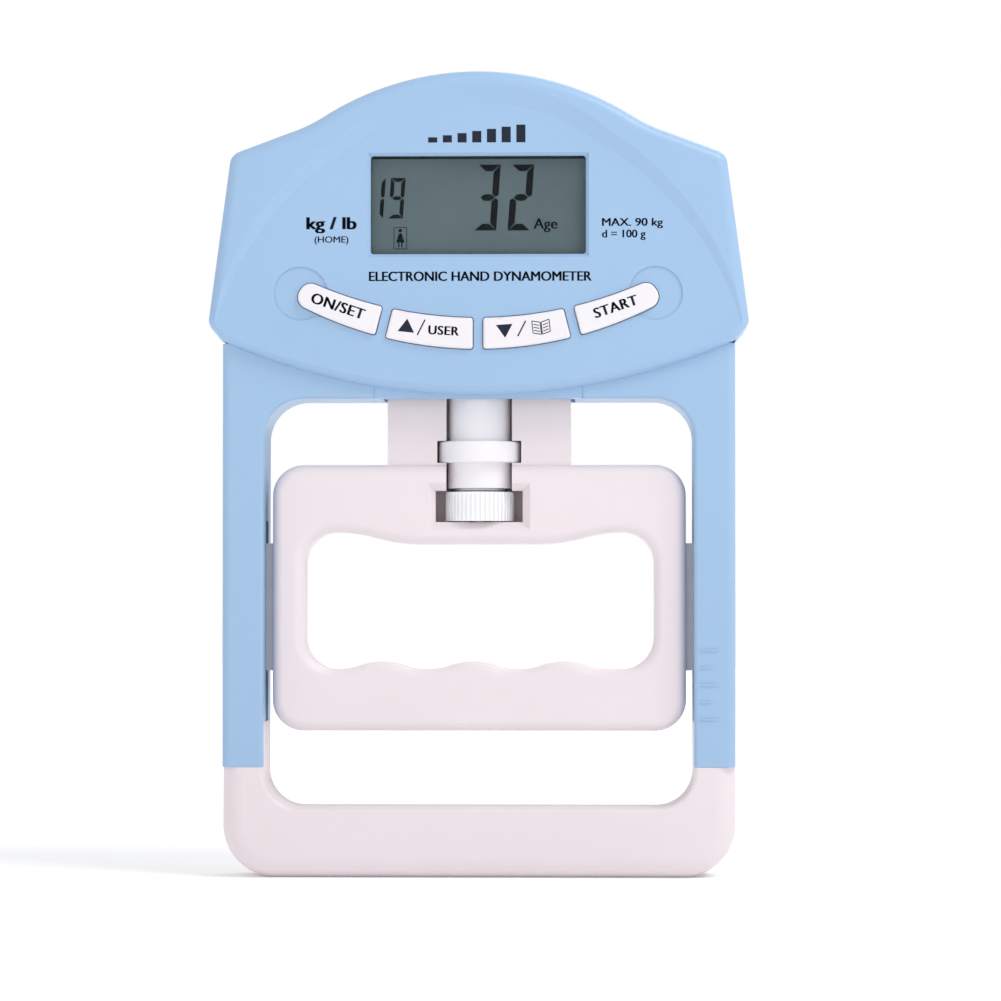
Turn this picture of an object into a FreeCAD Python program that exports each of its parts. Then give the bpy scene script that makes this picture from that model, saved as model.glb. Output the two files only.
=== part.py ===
import FreeCAD, Part
import os
import re
import Sketcher

os.makedirs("parts", exist_ok=True)
doc = FreeCAD.newDocument("HandDynamometer")
Vector = FreeCAD.Vector

# Driving sizes in millimetres and degrees. X runs across, Y from front to back, Z up from the base.
sizes = {
    # head outline
    "head_flare": 3.25, "head_top": 186.5, "head_half_depth": 15, "dome_radius": 66.6, "dome_half": 36.3,
    "waist_radius": 40, "waist_half": 43.6, "waist_height": 172.4, "shoulder_in": 5.35,
    "shoulder_height": 167.3, "flare_rise": 3.64, "shoulder_round": 3.4, "flare_round": 3.2,
    "chin_height": 111.6, "chin_radius": 145.6, "rim_round": 2.6, "back_round": 3, "shell_wall": 2,
    # display panel
    "panel_recess": 1.6, "lens_top": 179.4, "lens_radius": 46, "lens_turn": 38.1, "lens_side_radius": 72,
    "lens_in": 1.85, "cove_run": 4.4, "display_half": 24.9, "display_low": 144.1, "display_high": 166.9,
    "display_bevel": 0.7, "window_thick": 0.6, "lcd_thick": 1.4, "strip_thick": 0.7, "strip_inset": 1,
    "strip_low": 2.6, "strip_wide": 2, "strip_top_in": 0.4, "strip_top_wide": 1.4, "pane_over": 2,
    "pane_top_over": 1.6, "glass_over": 1.6, "glass_low_over": 3, "chip_across": 28, "chip_height": 154,
    "chip_radius": 5, "chip_thick": 1.4, "chip_round": 1.2, "board_corner_drop": 5, "board_corner_in": 12,
    "board_thick": 1.2, "layer_gap": 0.05, "board_half": 44, "board_low": 123.9, "board_high": 168,
    # keys
    "key_turn": 13.8, "key_end_turn": 26.9, "key_reach": 91.2, "key_gap": 2.4, "key_low": 122.1,
    "key_low_radius": 89, "key_high": 129.3, "key_high_radius": 94.7, "key_round": 2.75, "key_corner": 0.6,
    "key_proud": 1, "key_clear": 0.2, "key_flange": 0.75, "key_flange_thick": 0.7, "key_travel": 0.5,
    "key_edge": 0.6, "dimple_across": 41, "dimple_height": 135, "dimple_radius": 6.25, "dimple_deep": 0.35,
    "switch_half": 3, "switch_thick": 0.9, "plunger_radius": 1.1, "plunger_clear": 0.15,
    # arms and bridge
    "arm_half": 59.4, "arm_width": 9.6, "arm_wall": 2.2, "arm_step": 4, "arm_edge": 2,
    "arm_inner_edge": 1, "arm_room_gap": 0.2, "bridge_low": 110.8, "bridge_high": 123.6,
    "window_corner": 9.2, "split_height": 25.6, "tongue_high": 36, "tongue_thick": 1.9, "tongue_wall": 2.5,
    "throat_half": 22.3, "lip_half": 24.1, "arm_hollow_low": 46, "arm_hollow_high": 94,
    "tick_low": 36.4, "tick_step": 3.98, "tick_start": 1.55, "tick_long": 3.9, "tick_short": 2.3,
    "tick_thick": 0.45, "tick_proud": 0.25,
    # palm bar
    "palm_corner": 12.2, "palm_inner_corner": 8.5, "palm_inner_height": 16, "palm_edge": 4.8,
    "palm_wall": 2.4, "palm_post_half": 4,
    # handle
    "handle_play": 1.75, "handle_low": 33.8, "handle_high": 95.6, "handle_depth": 7, "handle_corner": 7.2,
    "handle_edge": 2.4, "grip_half": 40.7, "grip_low": 48, "grip_high": 80, "grip_corner": 7.4,
    "bulge_start": 14, "bulge_end": 34, "bulge_drop": 2.8, "finger_pitch": 21.3, "finger_rise": 1.7,
    "finger_shift": -1.75, "tab_half": 21.3, "tab_high": 128, "tab_depth": 5,
    # adjusting screw, its sleeve and the wheel
    "sleeve_radius": 7.25, "foot_proud": 0.25, "collar_proud": 2.4, "web_gap": 0.35, "web_thick": 1,
    "collar_low": 96.15, "collar_edge": 0.5, "bore_room": 0.7, "tip_room": 0.3, "washer_fit": 0.3,
    "wheel_edge": 0.5, "collar_high": 101.1, "sleeve_clear": 0.15, "stem_clear": 0.4,
    "sleeve_bore": 5.2, "screw_radius": 3, "screw_pass": 3.5, "fit_clear": 0.05, "slot_low": 82.3,
    "slot_high": 89.6, "slot_half": 10.15, "slot_bevel": 1.75, "slot_deep": 4, "wheel_room": 8.4,
    "wheel_radius": 8, "wheel_clear": 0.25, "washer_thick": 0.5, "washer_in": 1, "pivot_deep": 2.2,
    "pivot_radius": 2.5, "screw_high": 129, "screw_tip": 0.8, "link_radius": 4.6, "link_low": 112,
    "raise": 4.8,
    # runners
    "runner_low": 47.8, "runner_high": 77.4, "runner_half": 3, "runner_proud": 3.45, "runner_bite": 1.85,
    "runner_clear": 0.4,
    # load cell
    "beam_low": 135, "beam_high": 145, "beam_half": 4, "beam_left": -8, "beam_right": 50, "eye_left": 13.5,
    "eye_right": 26.5, "eye_radius": 3.2, "eye_slot_half": 1.1, "gauge_long": 5, "gauge_wide": 3,
    "gauge_thick": 0.2, "stud_radius": 2.5, "stud_proud": 0.4,
    "nut_thick": 3, "nut_half": 4, "bracket_left": 36, "bracket_right": 49.5, "bracket_half": 5,
    "bracket_screw_in": 3.5, "bracket_screw_deep": 8.5,
    # batteries and their door
    "cell_radius": 5.25, "cell_gap": 0.4, "cell_room": 1.55, "cell_half": 22.25, "cell_low": 156,
    "tray_half": 26.5, "tray_wall": 1.2, "tray_clear": 0.15, "contact_thick": 0.4, "contact_wide": 8,
    "nub_radius": 2.6, "nub_long": 0.9, "spring_radius": 2.8, "wire_radius": 0.35, "door_half": 25,
    "door_over": 1.3, "door_rise": 1.64, "door_edge": 0.5, "rail_inset": 8, "grip_line_drop": 10,
    "door_thick": 2.4, "door_clear": 0.25, "door_rail": 1, "door_rail_thick": 0.8, "floor_half": 27.5,
    "floor_under": 1.5, "bay_half": 23.6, "grip_line_half": 8, "grip_line_step": 2, "grip_line_deep": 0.6,
    # screws
    "screw_head": 2.5, "screw_head_thick": 1.5, "screw_shank": 1.3, "screw_fit": 0.05, "head_room": 0.3,
    "head_sunk": 0.95, "handle_head_sunk": 0.55,
    "screw_reach": 7.5, "palm_screw_reach": 7, "handle_screw_reach": 4.5,
    "hole_over": 0.5,
    "boss_wall": 0.6, "boss_in": 8.3, "boss_middle": 160, "boss_low": 137.5, "boss_top_across": 18,
    "arm_screw_low": 40.5, "arm_screw_middle": 101, "arm_screw_high": 117,
    "palm_screw_half": 20, "palm_screw_height": 8.6, "palm_screw_out": 1.4, "palm_end_height": 10.5,
    "handle_screw_half": 36,
}

# Sizes that follow from others.
derived = {
    "arm_depth": "head_half_depth - arm_step",
    "arm_inner_half": "arm_half - arm_width",
    "arm_middle": "arm_half - arm_width / 2",
    "head_half": "arm_half + head_flare",
    "chin_half": "arm_half + arm_room_gap",
    "chin_end": "chin_height + chin_radius - sqrt(chin_radius^2 - chin_half^2)",
    "flare_height": "chin_end + flare_rise",
    "shoulder_half": "head_half - shoulder_in",
    "lens_low_half": "head_half - lens_in",
    "handle_half": "arm_inner_half - handle_play",
    "runner_out": "handle_half + runner_proud",
    "runner_in": "handle_half - runner_bite",
    "sleeve_foot_radius": "sleeve_radius + foot_proud",
    "collar_radius": "sleeve_radius + collar_proud",
    "washer_radius": "sleeve_foot_radius - washer_in",
    "web_back": "sleeve_radius + web_gap",
    "web_front": "web_back + web_thick",
    "cell_high": "cell_low + cell_radius * 2 + cell_gap",
    "cell_depth": "head_half_depth - door_thick - cell_gap * 2 - cell_radius",
    "tray_low": "cell_low - cell_radius - cell_room",
    "tray_high": "cell_high + cell_radius + cell_room",
    "tray_front": "cell_depth - cell_radius - cell_room",
    "tray_back": "floor_back - tray_clear",
    "floor_back": "head_half_depth - door_thick - floor_under",
    "door_high": "tray_high + door_over",
    "boss_radius": "screw_head + boss_wall",
}

sheet = doc.addObject("Spreadsheet::Sheet", "Dims")
for row, (alias, number) in enumerate(sizes.items(), 1):
    sheet.set("A%d" % row, alias)
    sheet.set("B%d" % row, str(number))
    sheet.setAlias("B%d" % row, alias)
doc.recompute()


def formula(text):
    """Sheet cells are named in full, and a derived size becomes its own formula in brackets."""
    def named(word):
        name = word.group()
        if name in derived:
            return "(%s)" % formula(derived[name])
        return "Dims." + name if name in sizes else name
    return re.sub(r"[a-z][a-z0-9_]*", named, str(text))


def value(text):
    return float(sheet.evalExpression(formula(text)))


def bind(item, prop, text):
    item.setExpression(prop, formula(text))


# bodies, sketches and features
def new_body(label):
    body = doc.addObject("PartDesign::Body", label)
    body.Label = label
    return body


def new_sketch(body, name, role, level):
    sketch = body.newObject("Sketcher::SketchObject", name + "_sketch")
    plane = [item for item in body.Origin.OriginFeatures if item.Role == role][0]
    sketch.AttachmentSupport = [(plane, "")]
    sketch.MapMode = "FlatFace"
    bind(sketch, "AttachmentOffset.Base.z", level)
    return sketch


def fix_point(sketch, edge, vertex, spot):
    for kind, text in (("DistanceX", spot[0]), ("DistanceY", spot[1])):
        index = sketch.addConstraint(Sketcher.Constraint(kind, -1, 1, edge, vertex, value(text)))
        bind(sketch, "Constraints[%d]" % index, text)


def fix_radius(sketch, edge, text):
    index = sketch.addConstraint(Sketcher.Constraint("Radius", edge, value(text)))
    bind(sketch, "Constraints[%d]" % index, text)


def draw_loop(sketch, corners):
    """A corner is (across, up), or (across, up, radius, "out" or "in") when an arc leaves it.

    Loops run counterclockwise, so an "out" arc bulges away from the middle.
    """
    ends = []
    count = len(corners)
    spots = [Vector(value(corner[0]), value(corner[1]), 0) for corner in corners]
    for number, corner in enumerate(corners):
        start = spots[number]
        stop = spots[(number + 1) % count]
        if len(corner) == 2:
            edge = sketch.addGeometry(Part.LineSegment(start, stop))
            ends.append((edge, 1, 2))
            continue
        radius = value(corner[2])
        side = 1 if corner[3] == "out" else -1
        chord = stop - start
        rise = radius - (radius ** 2 - (chord.Length / 2) ** 2) ** 0.5
        middle = (start + stop) / 2 + Vector(chord.y, -chord.x, 0).normalize() * rise * side
        if side == 1:
            edge = sketch.addGeometry(Part.Arc(start, middle, stop))
            ends.append((edge, 1, 2))
        else:
            edge = sketch.addGeometry(Part.Arc(stop, middle, start))
            ends.append((edge, 2, 1))
    for number, (edge, first, last) in enumerate(ends):
        follower = ends[(number + 1) % count]
        sketch.addConstraint(Sketcher.Constraint("Coincident", edge, last, follower[0], follower[1]))
        fix_point(sketch, edge, first, corners[number])
        if len(corners[number]) > 2:
            fix_radius(sketch, edge, corners[number][2])


def draw_circle(sketch, across, up, radius):
    circle = Part.Circle(Vector(value(across), value(up), 0), Vector(0, 0, 1), value(radius))
    edge = sketch.addGeometry(circle)
    fix_point(sketch, edge, 3, (across, up))
    fix_radius(sketch, edge, radius)


def draw(sketch, shapes):
    """A shape with three entries of text is a circle, anything else is a loop of corners."""
    for shape in shapes:
        if len(shape) == 3 and isinstance(shape[0], str):
            draw_circle(sketch, *shape)
        else:
            draw_loop(sketch, shape)


def add_slab(body, name, front, back, *shapes):
    """Material between two depths, drawn as seen from the front."""
    sketch = new_sketch(body, name, "XZ_Plane", "-(%s)" % back)
    draw(sketch, shapes)
    feature = body.newObject("PartDesign::Pad", name)
    feature.Profile = sketch
    bind(feature, "Length", "(%s) - (%s)" % (back, front))
    return feature


def cut_slab(body, name, front, back, *shapes):
    sketch = new_sketch(body, name, "XZ_Plane", "-(%s)" % front)
    draw(sketch, shapes)
    feature = body.newObject("PartDesign::Pocket", name)
    feature.Profile = sketch
    bind(feature, "Length", "(%s) - (%s)" % (back, front))
    return feature


def add_post(body, name, low, high, *shapes):
    """Material between two heights, drawn as seen from above."""
    sketch = new_sketch(body, name, "XY_Plane", low)
    draw(sketch, shapes)
    feature = body.newObject("PartDesign::Pad", name)
    feature.Profile = sketch
    bind(feature, "Length", "(%s) - (%s)" % (high, low))
    return feature


def cut_post(body, name, low, high, *shapes):
    sketch = new_sketch(body, name, "XY_Plane", high)
    draw(sketch, shapes)
    feature = body.newObject("PartDesign::Pocket", name)
    feature.Profile = sketch
    bind(feature, "Length", "(%s) - (%s)" % (high, low))
    return feature


def cut_across(body, name, left, right, *shapes):
    """Removes what lies between two places across, drawn in depth and height."""
    sketch = new_sketch(body, name, "YZ_Plane", right)
    draw(sketch, shapes)
    feature = body.newObject("PartDesign::Pocket", name)
    feature.Profile = sketch
    bind(feature, "Length", "(%s) - (%s)" % (right, left))
    return feature


def dress(body, kind, name, size, test):
    """A fillet or chamfer on the edges of the body so far that pass the test."""
    doc.recompute()
    base = body.Tip
    names = ["Edge%d" % number for number, edge in enumerate(base.Shape.Edges, 1) if test(edge)]
    if not names:
        raise ValueError("no edge for " + name)
    feature = body.newObject("PartDesign::" + kind, name)
    feature.Base = (base, names)
    bind(feature, "Radius" if kind == "Fillet" else "Size", size)
    return feature


def turn(body, name, corners):
    """A solid of revolution about Z from a half outline of (radius, height) corners."""
    sketch = new_sketch(body, name, "XZ_Plane", "0")
    draw_loop(sketch, corners)
    feature = body.newObject("PartDesign::Revolution", name)
    feature.Profile = sketch
    feature.ReferenceAxis = (sketch, ["V_Axis"])
    feature.Angle = 360
    return feature


def rect(left, right, low, high):
    return [(left, low), (right, low), (right, high), (left, high)]


def both_sides(half, top=(), bottom=()):
    """Right-hand corners from bottom to top become a whole symmetrical loop."""
    spots = [tuple(corner[:2]) for corner in half]
    bends = [tuple(corner[2:]) for corner in half[:-1]]
    loop = [spot + bend for spot, bend in zip(spots, bends + [tuple(top)])]
    mirror = [("-(%s)" % across, up) for across, up in reversed(spots)]
    return loop + [spot + bend for spot, bend in zip(mirror, bends[::-1] + [tuple(bottom)])]


def mirrored(loop):
    """The same straight-sided loop on the other side."""
    return [("-(%s)" % across, up) for across, up in reversed(loop)]


# tests that pick edges
near = 0.02


def at_depth(depth):
    level = value(depth)
    return lambda edge: abs(edge.BoundBox.YMin - level) < near and abs(edge.BoundBox.YMax - level) < near


def along_depth(across, up, reach=0.6):
    """Straight edges that run from front to back at (+-across, up)."""
    spot = (value(across), value(up))

    def test(edge):
        box = edge.BoundBox
        return (box.XLength < near and box.ZLength < near and box.YLength > near
                and abs(abs(box.Center.x) - spot[0]) < reach and abs(box.Center.z - spot[1]) < reach)
    return test


def any_of(*tests):
    return lambda edge: any(test(edge) for test in tests)


# shared outlines
def arc_height(low, radius, across):
    return "%s + %s - sqrt((%s)^2 - (%s)^2)" % (low, radius, radius, across)


dome_centre = "head_top - dome_radius"


def head_outline():
    half = [
        ("chin_half", "chin_end"),
        ("head_half", "flare_height"),
        ("shoulder_half", "shoulder_height"),
        ("waist_half", "waist_height", "waist_radius", "in"),
        ("dome_half", dome_centre + " + sqrt(dome_radius^2 - dome_half^2)"),
    ]
    return both_sides(half, ("dome_radius", "out"), ("chin_radius", "out"))


def head_hollow():
    inner = "(dome_radius - shell_wall)"
    reach = "(dome_half - shell_wall / 2)"
    low_radius = "(chin_radius - shell_wall * 1.5)"
    low_half = "head_half - shell_wall * 1.9"
    half = [
        (low_half, arc_height("chin_height + shell_wall * 1.5", low_radius, low_half)),
        ("head_half - shell_wall * 1.5", "flare_height + shell_wall"),
        ("shoulder_half - shell_wall * 1.4", "shoulder_height - shell_wall * 1.5"),
        (reach, "%s + sqrt(%s^2 - %s^2)" % (dome_centre, inner, reach)),
    ]
    return both_sides(half, (inner, "out"), (low_radius, "out"))


shell_screw_spots = [("(shoulder_half - boss_in)", "boss_middle"), ("arm_middle", "boss_low"),
                     ("boss_top_across", "door_high + boss_radius + door_clear + layer_gap")]
shell_screw_spots += [("-" + across, up) for across, up in shell_screw_spots]
head_corners = any_of(along_depth("shoulder_half", "shoulder_height"))
flare_corners = any_of(along_depth("head_half", "flare_height"))
arm_room = rect("-chin_half", "chin_half", "chin_height - 1", "bridge_high + 1.5")
panel = "-(head_half_depth - panel_recess)"
panel_back = "-(head_half_depth - panel_recess - shell_wall)"
front = "-head_half_depth"


# keys
def key_outline(first, last, grow):
    """One cap of the curved row between two angles, each (degrees, gap beyond it)."""
    corners = []
    low_radius = "(key_low_radius + %s)" % grow
    high_radius = "(key_high_radius - %s)" % grow
    across = []
    for level in ("key_reach + (key_high - key_low) / 2", "key_reach - (key_high - key_low) / 2"):
        left = "(%s) * sin(%s) + (%s) - %s" % (level, first[0], first[1], grow)
        right = "(%s) * sin(%s) - (%s) + %s" % (level, last[0], last[1], grow)
        across.append((left, right))
    low = lambda place: arc_height("(key_low - %s)" % grow, low_radius, place)
    high = lambda place: arc_height("(key_high + %s)" % grow, high_radius, place)
    corners.append((across[0][0], low(across[0][0]), low_radius, "out"))
    corners.append((across[0][1], low(across[0][1])))
    corners.append((across[1][1], high(across[1][1]), high_radius, "in"))
    corners.append((across[1][0], high(across[1][0])))
    return corners


half_gap = "key_gap / 2"
keys = {
    "on_set": (("(-key_end_turn)", "0"), ("(-key_turn)", half_gap)),
    "user": (("(-key_turn)", half_gap), ("0", half_gap)),
    "memory": (("0", half_gap), ("key_turn", half_gap)),
    "start": (("key_turn", half_gap), ("key_end_turn", "0")),
}
key_middle = {}
for key, (first, last) in keys.items():
    middle_turn = "((%s + %s) / 2)" % (first[0], last[0])
    across = "key_reach * sin%s" % middle_turn
    key_middle[key] = (across, "(key_low + key_high) / 2 + key_reach - key_reach * cos%s" % middle_turn)


def round_key(body, name, key, grow):
    """Full rounds on the outer ends of the row, small ones on the corners between caps."""
    bottom = value("key_low - key_flange") - near
    edge_test = lambda edge: (edge.BoundBox.XLength < near and edge.BoundBox.ZLength < near
                              and edge.BoundBox.YLength > near and edge.BoundBox.ZMin > bottom)
    end = value("key_reach * sin(key_end_turn)") - 4.5
    outer = lambda edge: edge_test(edge) and abs(edge.BoundBox.Center.x) > end
    inner = lambda edge: edge_test(edge) and abs(edge.BoundBox.Center.x) <= end
    within = lambda test: lambda edge: test(edge) and key_left < edge.BoundBox.Center.x < key_right
    spots = [value(corner[0]) for corner in key_outline(*keys[key], grow)]
    key_left = min(spots) - near
    key_right = max(spots) + near
    if key in ("on_set", "start"):
        dress(body, "Fillet", name + "_end", "key_round + %s" % grow, within(outer))
    dress(body, "Fillet", name + "_corner", "key_corner + %s" % grow, within(inner))


# front cover
cover = new_body("front_cover")
add_slab(cover, "cover_block", front, "0", head_outline())
lean = [(front + " - 1", "chin_height - 1"), (panel, "chin_height - 1"), (panel, "chin_height"),
        (front, "head_top"), (front + " - 1", "head_top")]
cut_across(cover, "cover_lean", "-head_half - 1", "head_half + 1", lean)
dress(cover, "Fillet", "cover_shoulder", "shoulder_round", head_corners)
dress(cover, "Fillet", "cover_flare", "flare_round", flare_corners)
front_edges = lambda edge: edge.BoundBox.YMax < value(panel) + near
dress(cover, "Fillet", "cover_rim", "rim_round", front_edges)


def lens_loop(grow):
    """The panel's edge, grown outwards by a share of the cove's width."""
    centre = "lens_top - lens_radius"
    radius = "(lens_radius + %s)" % grow
    turn_x = "%s * sin(lens_turn)" % radius
    turn_z = "%s + %s * cos(lens_turn)" % (centre, radius)
    half = [
        ("lens_low_half + 3 + " + grow, "chin_height - 3"),
        ("lens_low_half + " + grow, "flare_height", "lens_side_radius + " + grow, "out"),
        (turn_x, turn_z),
    ]
    return both_sides(half, (radius, "out"))


cove = cover.newObject("PartDesign::SubtractiveLoft", "cover_cove")
deep = new_sketch(cover, "cove_deep", "XZ_Plane", "-(%s)" % panel)
draw_loop(deep, lens_loop("0"))
wide = new_sketch(cover, "cove_wide", "XZ_Plane", "-(%s)" % front)
draw_loop(wide, lens_loop("cove_run"))
cove.Profile = deep
cove.Sections = [wide]
cove.Ruled = True
doc.recompute()
cut_slab(cover, "cover_hollow", panel_back, "0", head_hollow())
cut_slab(cover, "cover_arm_room", "-arm_depth - layer_gap", "0",
         arm_room)
add_slab(cover, "cover_lip", "-arm_depth - layer_gap * 2", "-web_front - layer_gap",
         rect("-lip_half + layer_gap", "lip_half - layer_gap", "bridge_low", "key_low - 2"))
display = rect("-display_half", "display_half", "display_low", "display_high")
cut_slab(cover, "cover_display", front, panel_back, display)
display_edge = lambda edge: (at_depth(panel)(edge) and edge.BoundBox.XMax < value("display_half") + near
                             and edge.BoundBox.ZMin > value("display_low") - near
                             and edge.BoundBox.ZMax < value("display_high") + near
                             and edge.BoundBox.XMin > -value("display_half") - near)
dress(cover, "Chamfer", "cover_display_bevel", "display_bevel", display_edge)
for side, sign in (("left", "-"), ("right", "")):
    dimple = (sign + "dimple_across", "dimple_height", "dimple_radius")
    cut_slab(cover, "cover_dimple_" + side, front, panel + " + dimple_deep", dimple)
for key in keys:
    cut_slab(cover, "cover_key_" + key, front, panel_back, key_outline(*keys[key], "key_clear"))
    round_key(cover, "cover_key_" + key, key, "key_clear")
boss_shapes = [(across, up, "boss_radius") for across, up in shell_screw_spots]
add_slab(cover, "cover_bosses", panel_back + " - 0.5", "-layer_gap", *boss_shapes)
hole_shapes = [(across, up, "screw_shank + screw_fit") for across, up in shell_screw_spots]
cut_slab(cover, "cover_screw_holes", "-screw_reach - hole_over", "0", *hole_shapes)

# rear cover and battery door
rear = new_body("rear_cover")
back = "head_half_depth"
add_slab(rear, "rear_block", "0", back, head_outline())
dress(rear, "Fillet", "rear_shoulder", "shoulder_round", head_corners)
dress(rear, "Fillet", "rear_flare", "flare_round", flare_corners)
dress(rear, "Fillet", "rear_rim", "back_round", at_depth(back))
cut_slab(rear, "rear_hollow", "0", back + " - shell_wall", head_hollow())
add_slab(rear, "rear_floor", "floor_back", back + " - shell_wall + 0.5",
         both_sides([("floor_half", arc_height("chin_height", "chin_radius", "floor_half")),
                     ("floor_half", "door_high + 2")], (), ("chin_radius", "out")))
door_front = back + " - door_thick - door_clear"
cut_slab(rear, "rear_arm_room", "0", "arm_depth + layer_gap",
         arm_room)
cut_slab(rear, "rear_door_room", door_front, back,
         rect("-door_half - door_clear", "door_half + door_clear", "chin_height - 1",
              "door_high + door_clear"))
rail_front = back + " - door_thick / 2 - door_rail_thick / 2"
rail_back = back + " - door_thick / 2 + door_rail_thick / 2"
cut_slab(rear, "rear_door_grooves", rail_front + " - 0.1", rail_back + " + 0.1",
         rect("-door_half - door_rail - door_clear", "door_half + door_rail + door_clear",
              "chin_height - 1", "door_high - 3"))
cut_slab(rear, "rear_bay", "0", back, rect("-bay_half", "bay_half", "tray_low", "tray_high - 1"))
add_slab(rear, "rear_bosses", "layer_gap", back + " - shell_wall + 0.5", *boss_shapes)
head_shapes = [(across, up, "screw_head + head_room") for across, up in shell_screw_spots]
cut_slab(rear, "rear_screw_holes", "0", back, *hole_shapes)
cut_slab(rear, "rear_screw_heads", back + " - head_sunk - screw_head_thick - layer_gap", back, *head_shapes)

door = new_body("battery_door")
add_slab(door, "door_plate", door_front + " + door_clear", back,
         both_sides([("door_half", arc_height("chin_height + door_rise", "chin_radius", "door_half")),
                     ("door_half", "door_high")],
                    (), ("chin_radius", "out")))
add_slab(door, "door_rails", rail_front, rail_back,
         rect("-door_half - door_rail", "door_half + door_rail", "chin_height + rail_inset",
              "door_high - rail_inset"))
dress(door, "Fillet", "door_edge", "door_edge", at_depth(back))
for step in range(5):
    level = "door_high - grip_line_drop - grip_line_step * %d" % step
    cut_slab(door, "door_grip_%d" % step, back + " - grip_line_deep", back,
             rect("-grip_line_half", "grip_line_half", level, level + " + grip_line_step / 2"))


# arms, front and back halves
def arm_half_shell(label, near_side):
    """One half of the arms and bridge; near_side is -1 for the front half and 1 for the back."""
    body = new_body(label)
    depth = ("-arm_depth", "0") if near_side < 0 else ("0", "arm_depth")
    outer = rect("-arm_half", "arm_half", "split_height", "bridge_high")
    add_slab(body, label + "_block", *depth, outer)
    window = rect("-arm_inner_half", "arm_inner_half", "split_height - 1", "bridge_low")
    cut_slab(body, label + "_window", *depth, window)
    dress(body, "Fillet", label + "_corner", "window_corner", along_depth("arm_inner_half", "bridge_low"))
    face = at_depth(depth[0] if near_side < 0 else depth[1])
    low_edge = value("split_height")
    outer_face = lambda edge: (face(edge) and edge.BoundBox.XLength < near
                               and abs(edge.BoundBox.Center.x) > value("arm_half") - near)
    inner_face = lambda edge: (face(edge) and not outer_face(edge) and edge.BoundBox.ZMax > low_edge + near
                               and edge.BoundBox.ZMax < value("bridge_high") - near)
    dress(body, "Fillet", label + "_outer_edge", "arm_edge", outer_face)
    dress(body, "Fillet", label + "_inner_edge", "arm_inner_edge", inner_face)
    def sides(left, right, low, high):
        return [rect(left, right, low, high), mirrored(rect(left, right, low, high))]
    groove = "runner_half + runner_clear"
    inner_depth = ("-(%s)" % groove, "0") if near_side < 0 else ("0", groove)
    cut_slab(body, label + "_groove", *inner_depth,
             *sides("arm_inner_half - 1", "runner_out + runner_clear", "tongue_high",
                    "runner_high + raise + runner_clear"))
    tongue = ("-arm_depth + tongue_wall", "0") if near_side < 0 else ("0", "arm_depth - tongue_wall")
    cut_slab(body, label + "_tongue_room", *tongue,
             *sides("arm_inner_half - 1", "arm_inner_half + tongue_thick + layer_gap", "split_height - 1",
                    "tongue_high"))
    hollow = ("-arm_depth + arm_wall", "0") if near_side < 0 else ("0", "arm_depth - arm_wall")
    cut_slab(body, label + "_hollow", *hollow,
             *sides("runner_out + runner_clear + 1.6", "arm_half - arm_wall", "arm_hollow_low",
                    "arm_hollow_high"))
    return body


def round_screws(spots, radius):
    return [(across, up, radius) for across, up in spots]


arm_screw_spots = [(sign + "arm_middle", up) for sign in ("", "-")
                   for up in ("arm_screw_low", "arm_screw_middle", "arm_screw_high")]
frame_front = arm_half_shell("frame_front", -1)
cut_slab(frame_front, "frame_front_lip_room", "-arm_depth", "-web_front",
         rect("-lip_half", "lip_half", "bridge_low - 1", "bridge_high + 1"))
cut_slab(frame_front, "frame_front_throat", "-web_back", "0",
         rect("-throat_half", "throat_half", "bridge_low - 1", "bridge_high + 1"))
cut_slab(frame_front, "frame_front_holes", "-screw_reach - hole_over", "0",
         *round_screws(arm_screw_spots, "screw_shank + screw_fit"))
tick_left = "arm_inner_half + tick_start"
for step in range(5):
    reach = "tick_long" if step % 2 == 0 else "tick_short"
    level = "tick_low + tick_step * %d" % step
    add_slab(frame_front, "frame_front_tick_%d" % step, "-arm_depth - tick_proud", "-arm_depth + 0.2",
             rect(tick_left, tick_left + " + " + reach, level, level + " + tick_thick"))

frame_rear = arm_half_shell("frame_rear", 1)
cut_slab(frame_rear, "frame_rear_throat", "0", "web_front",
         rect("-throat_half", "throat_half", "bridge_low - 1", "bridge_high + 1"))
cut_slab(frame_rear, "frame_rear_holes", "0", "arm_depth",
         *round_screws(arm_screw_spots, "screw_shank + screw_fit"))
cut_slab(frame_rear, "frame_rear_heads", "arm_depth - head_sunk - screw_head_thick - layer_gap", "arm_depth",
         *round_screws(arm_screw_spots, "screw_head + head_room"))

# palm bar, front and back halves
palm_screw_spots = [("palm_screw_half", "palm_screw_height"),
                    ("(arm_inner_half + palm_screw_out)", "palm_end_height")]
palm_screw_spots += [("-" + across, up) for across, up in palm_screw_spots]


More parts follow.
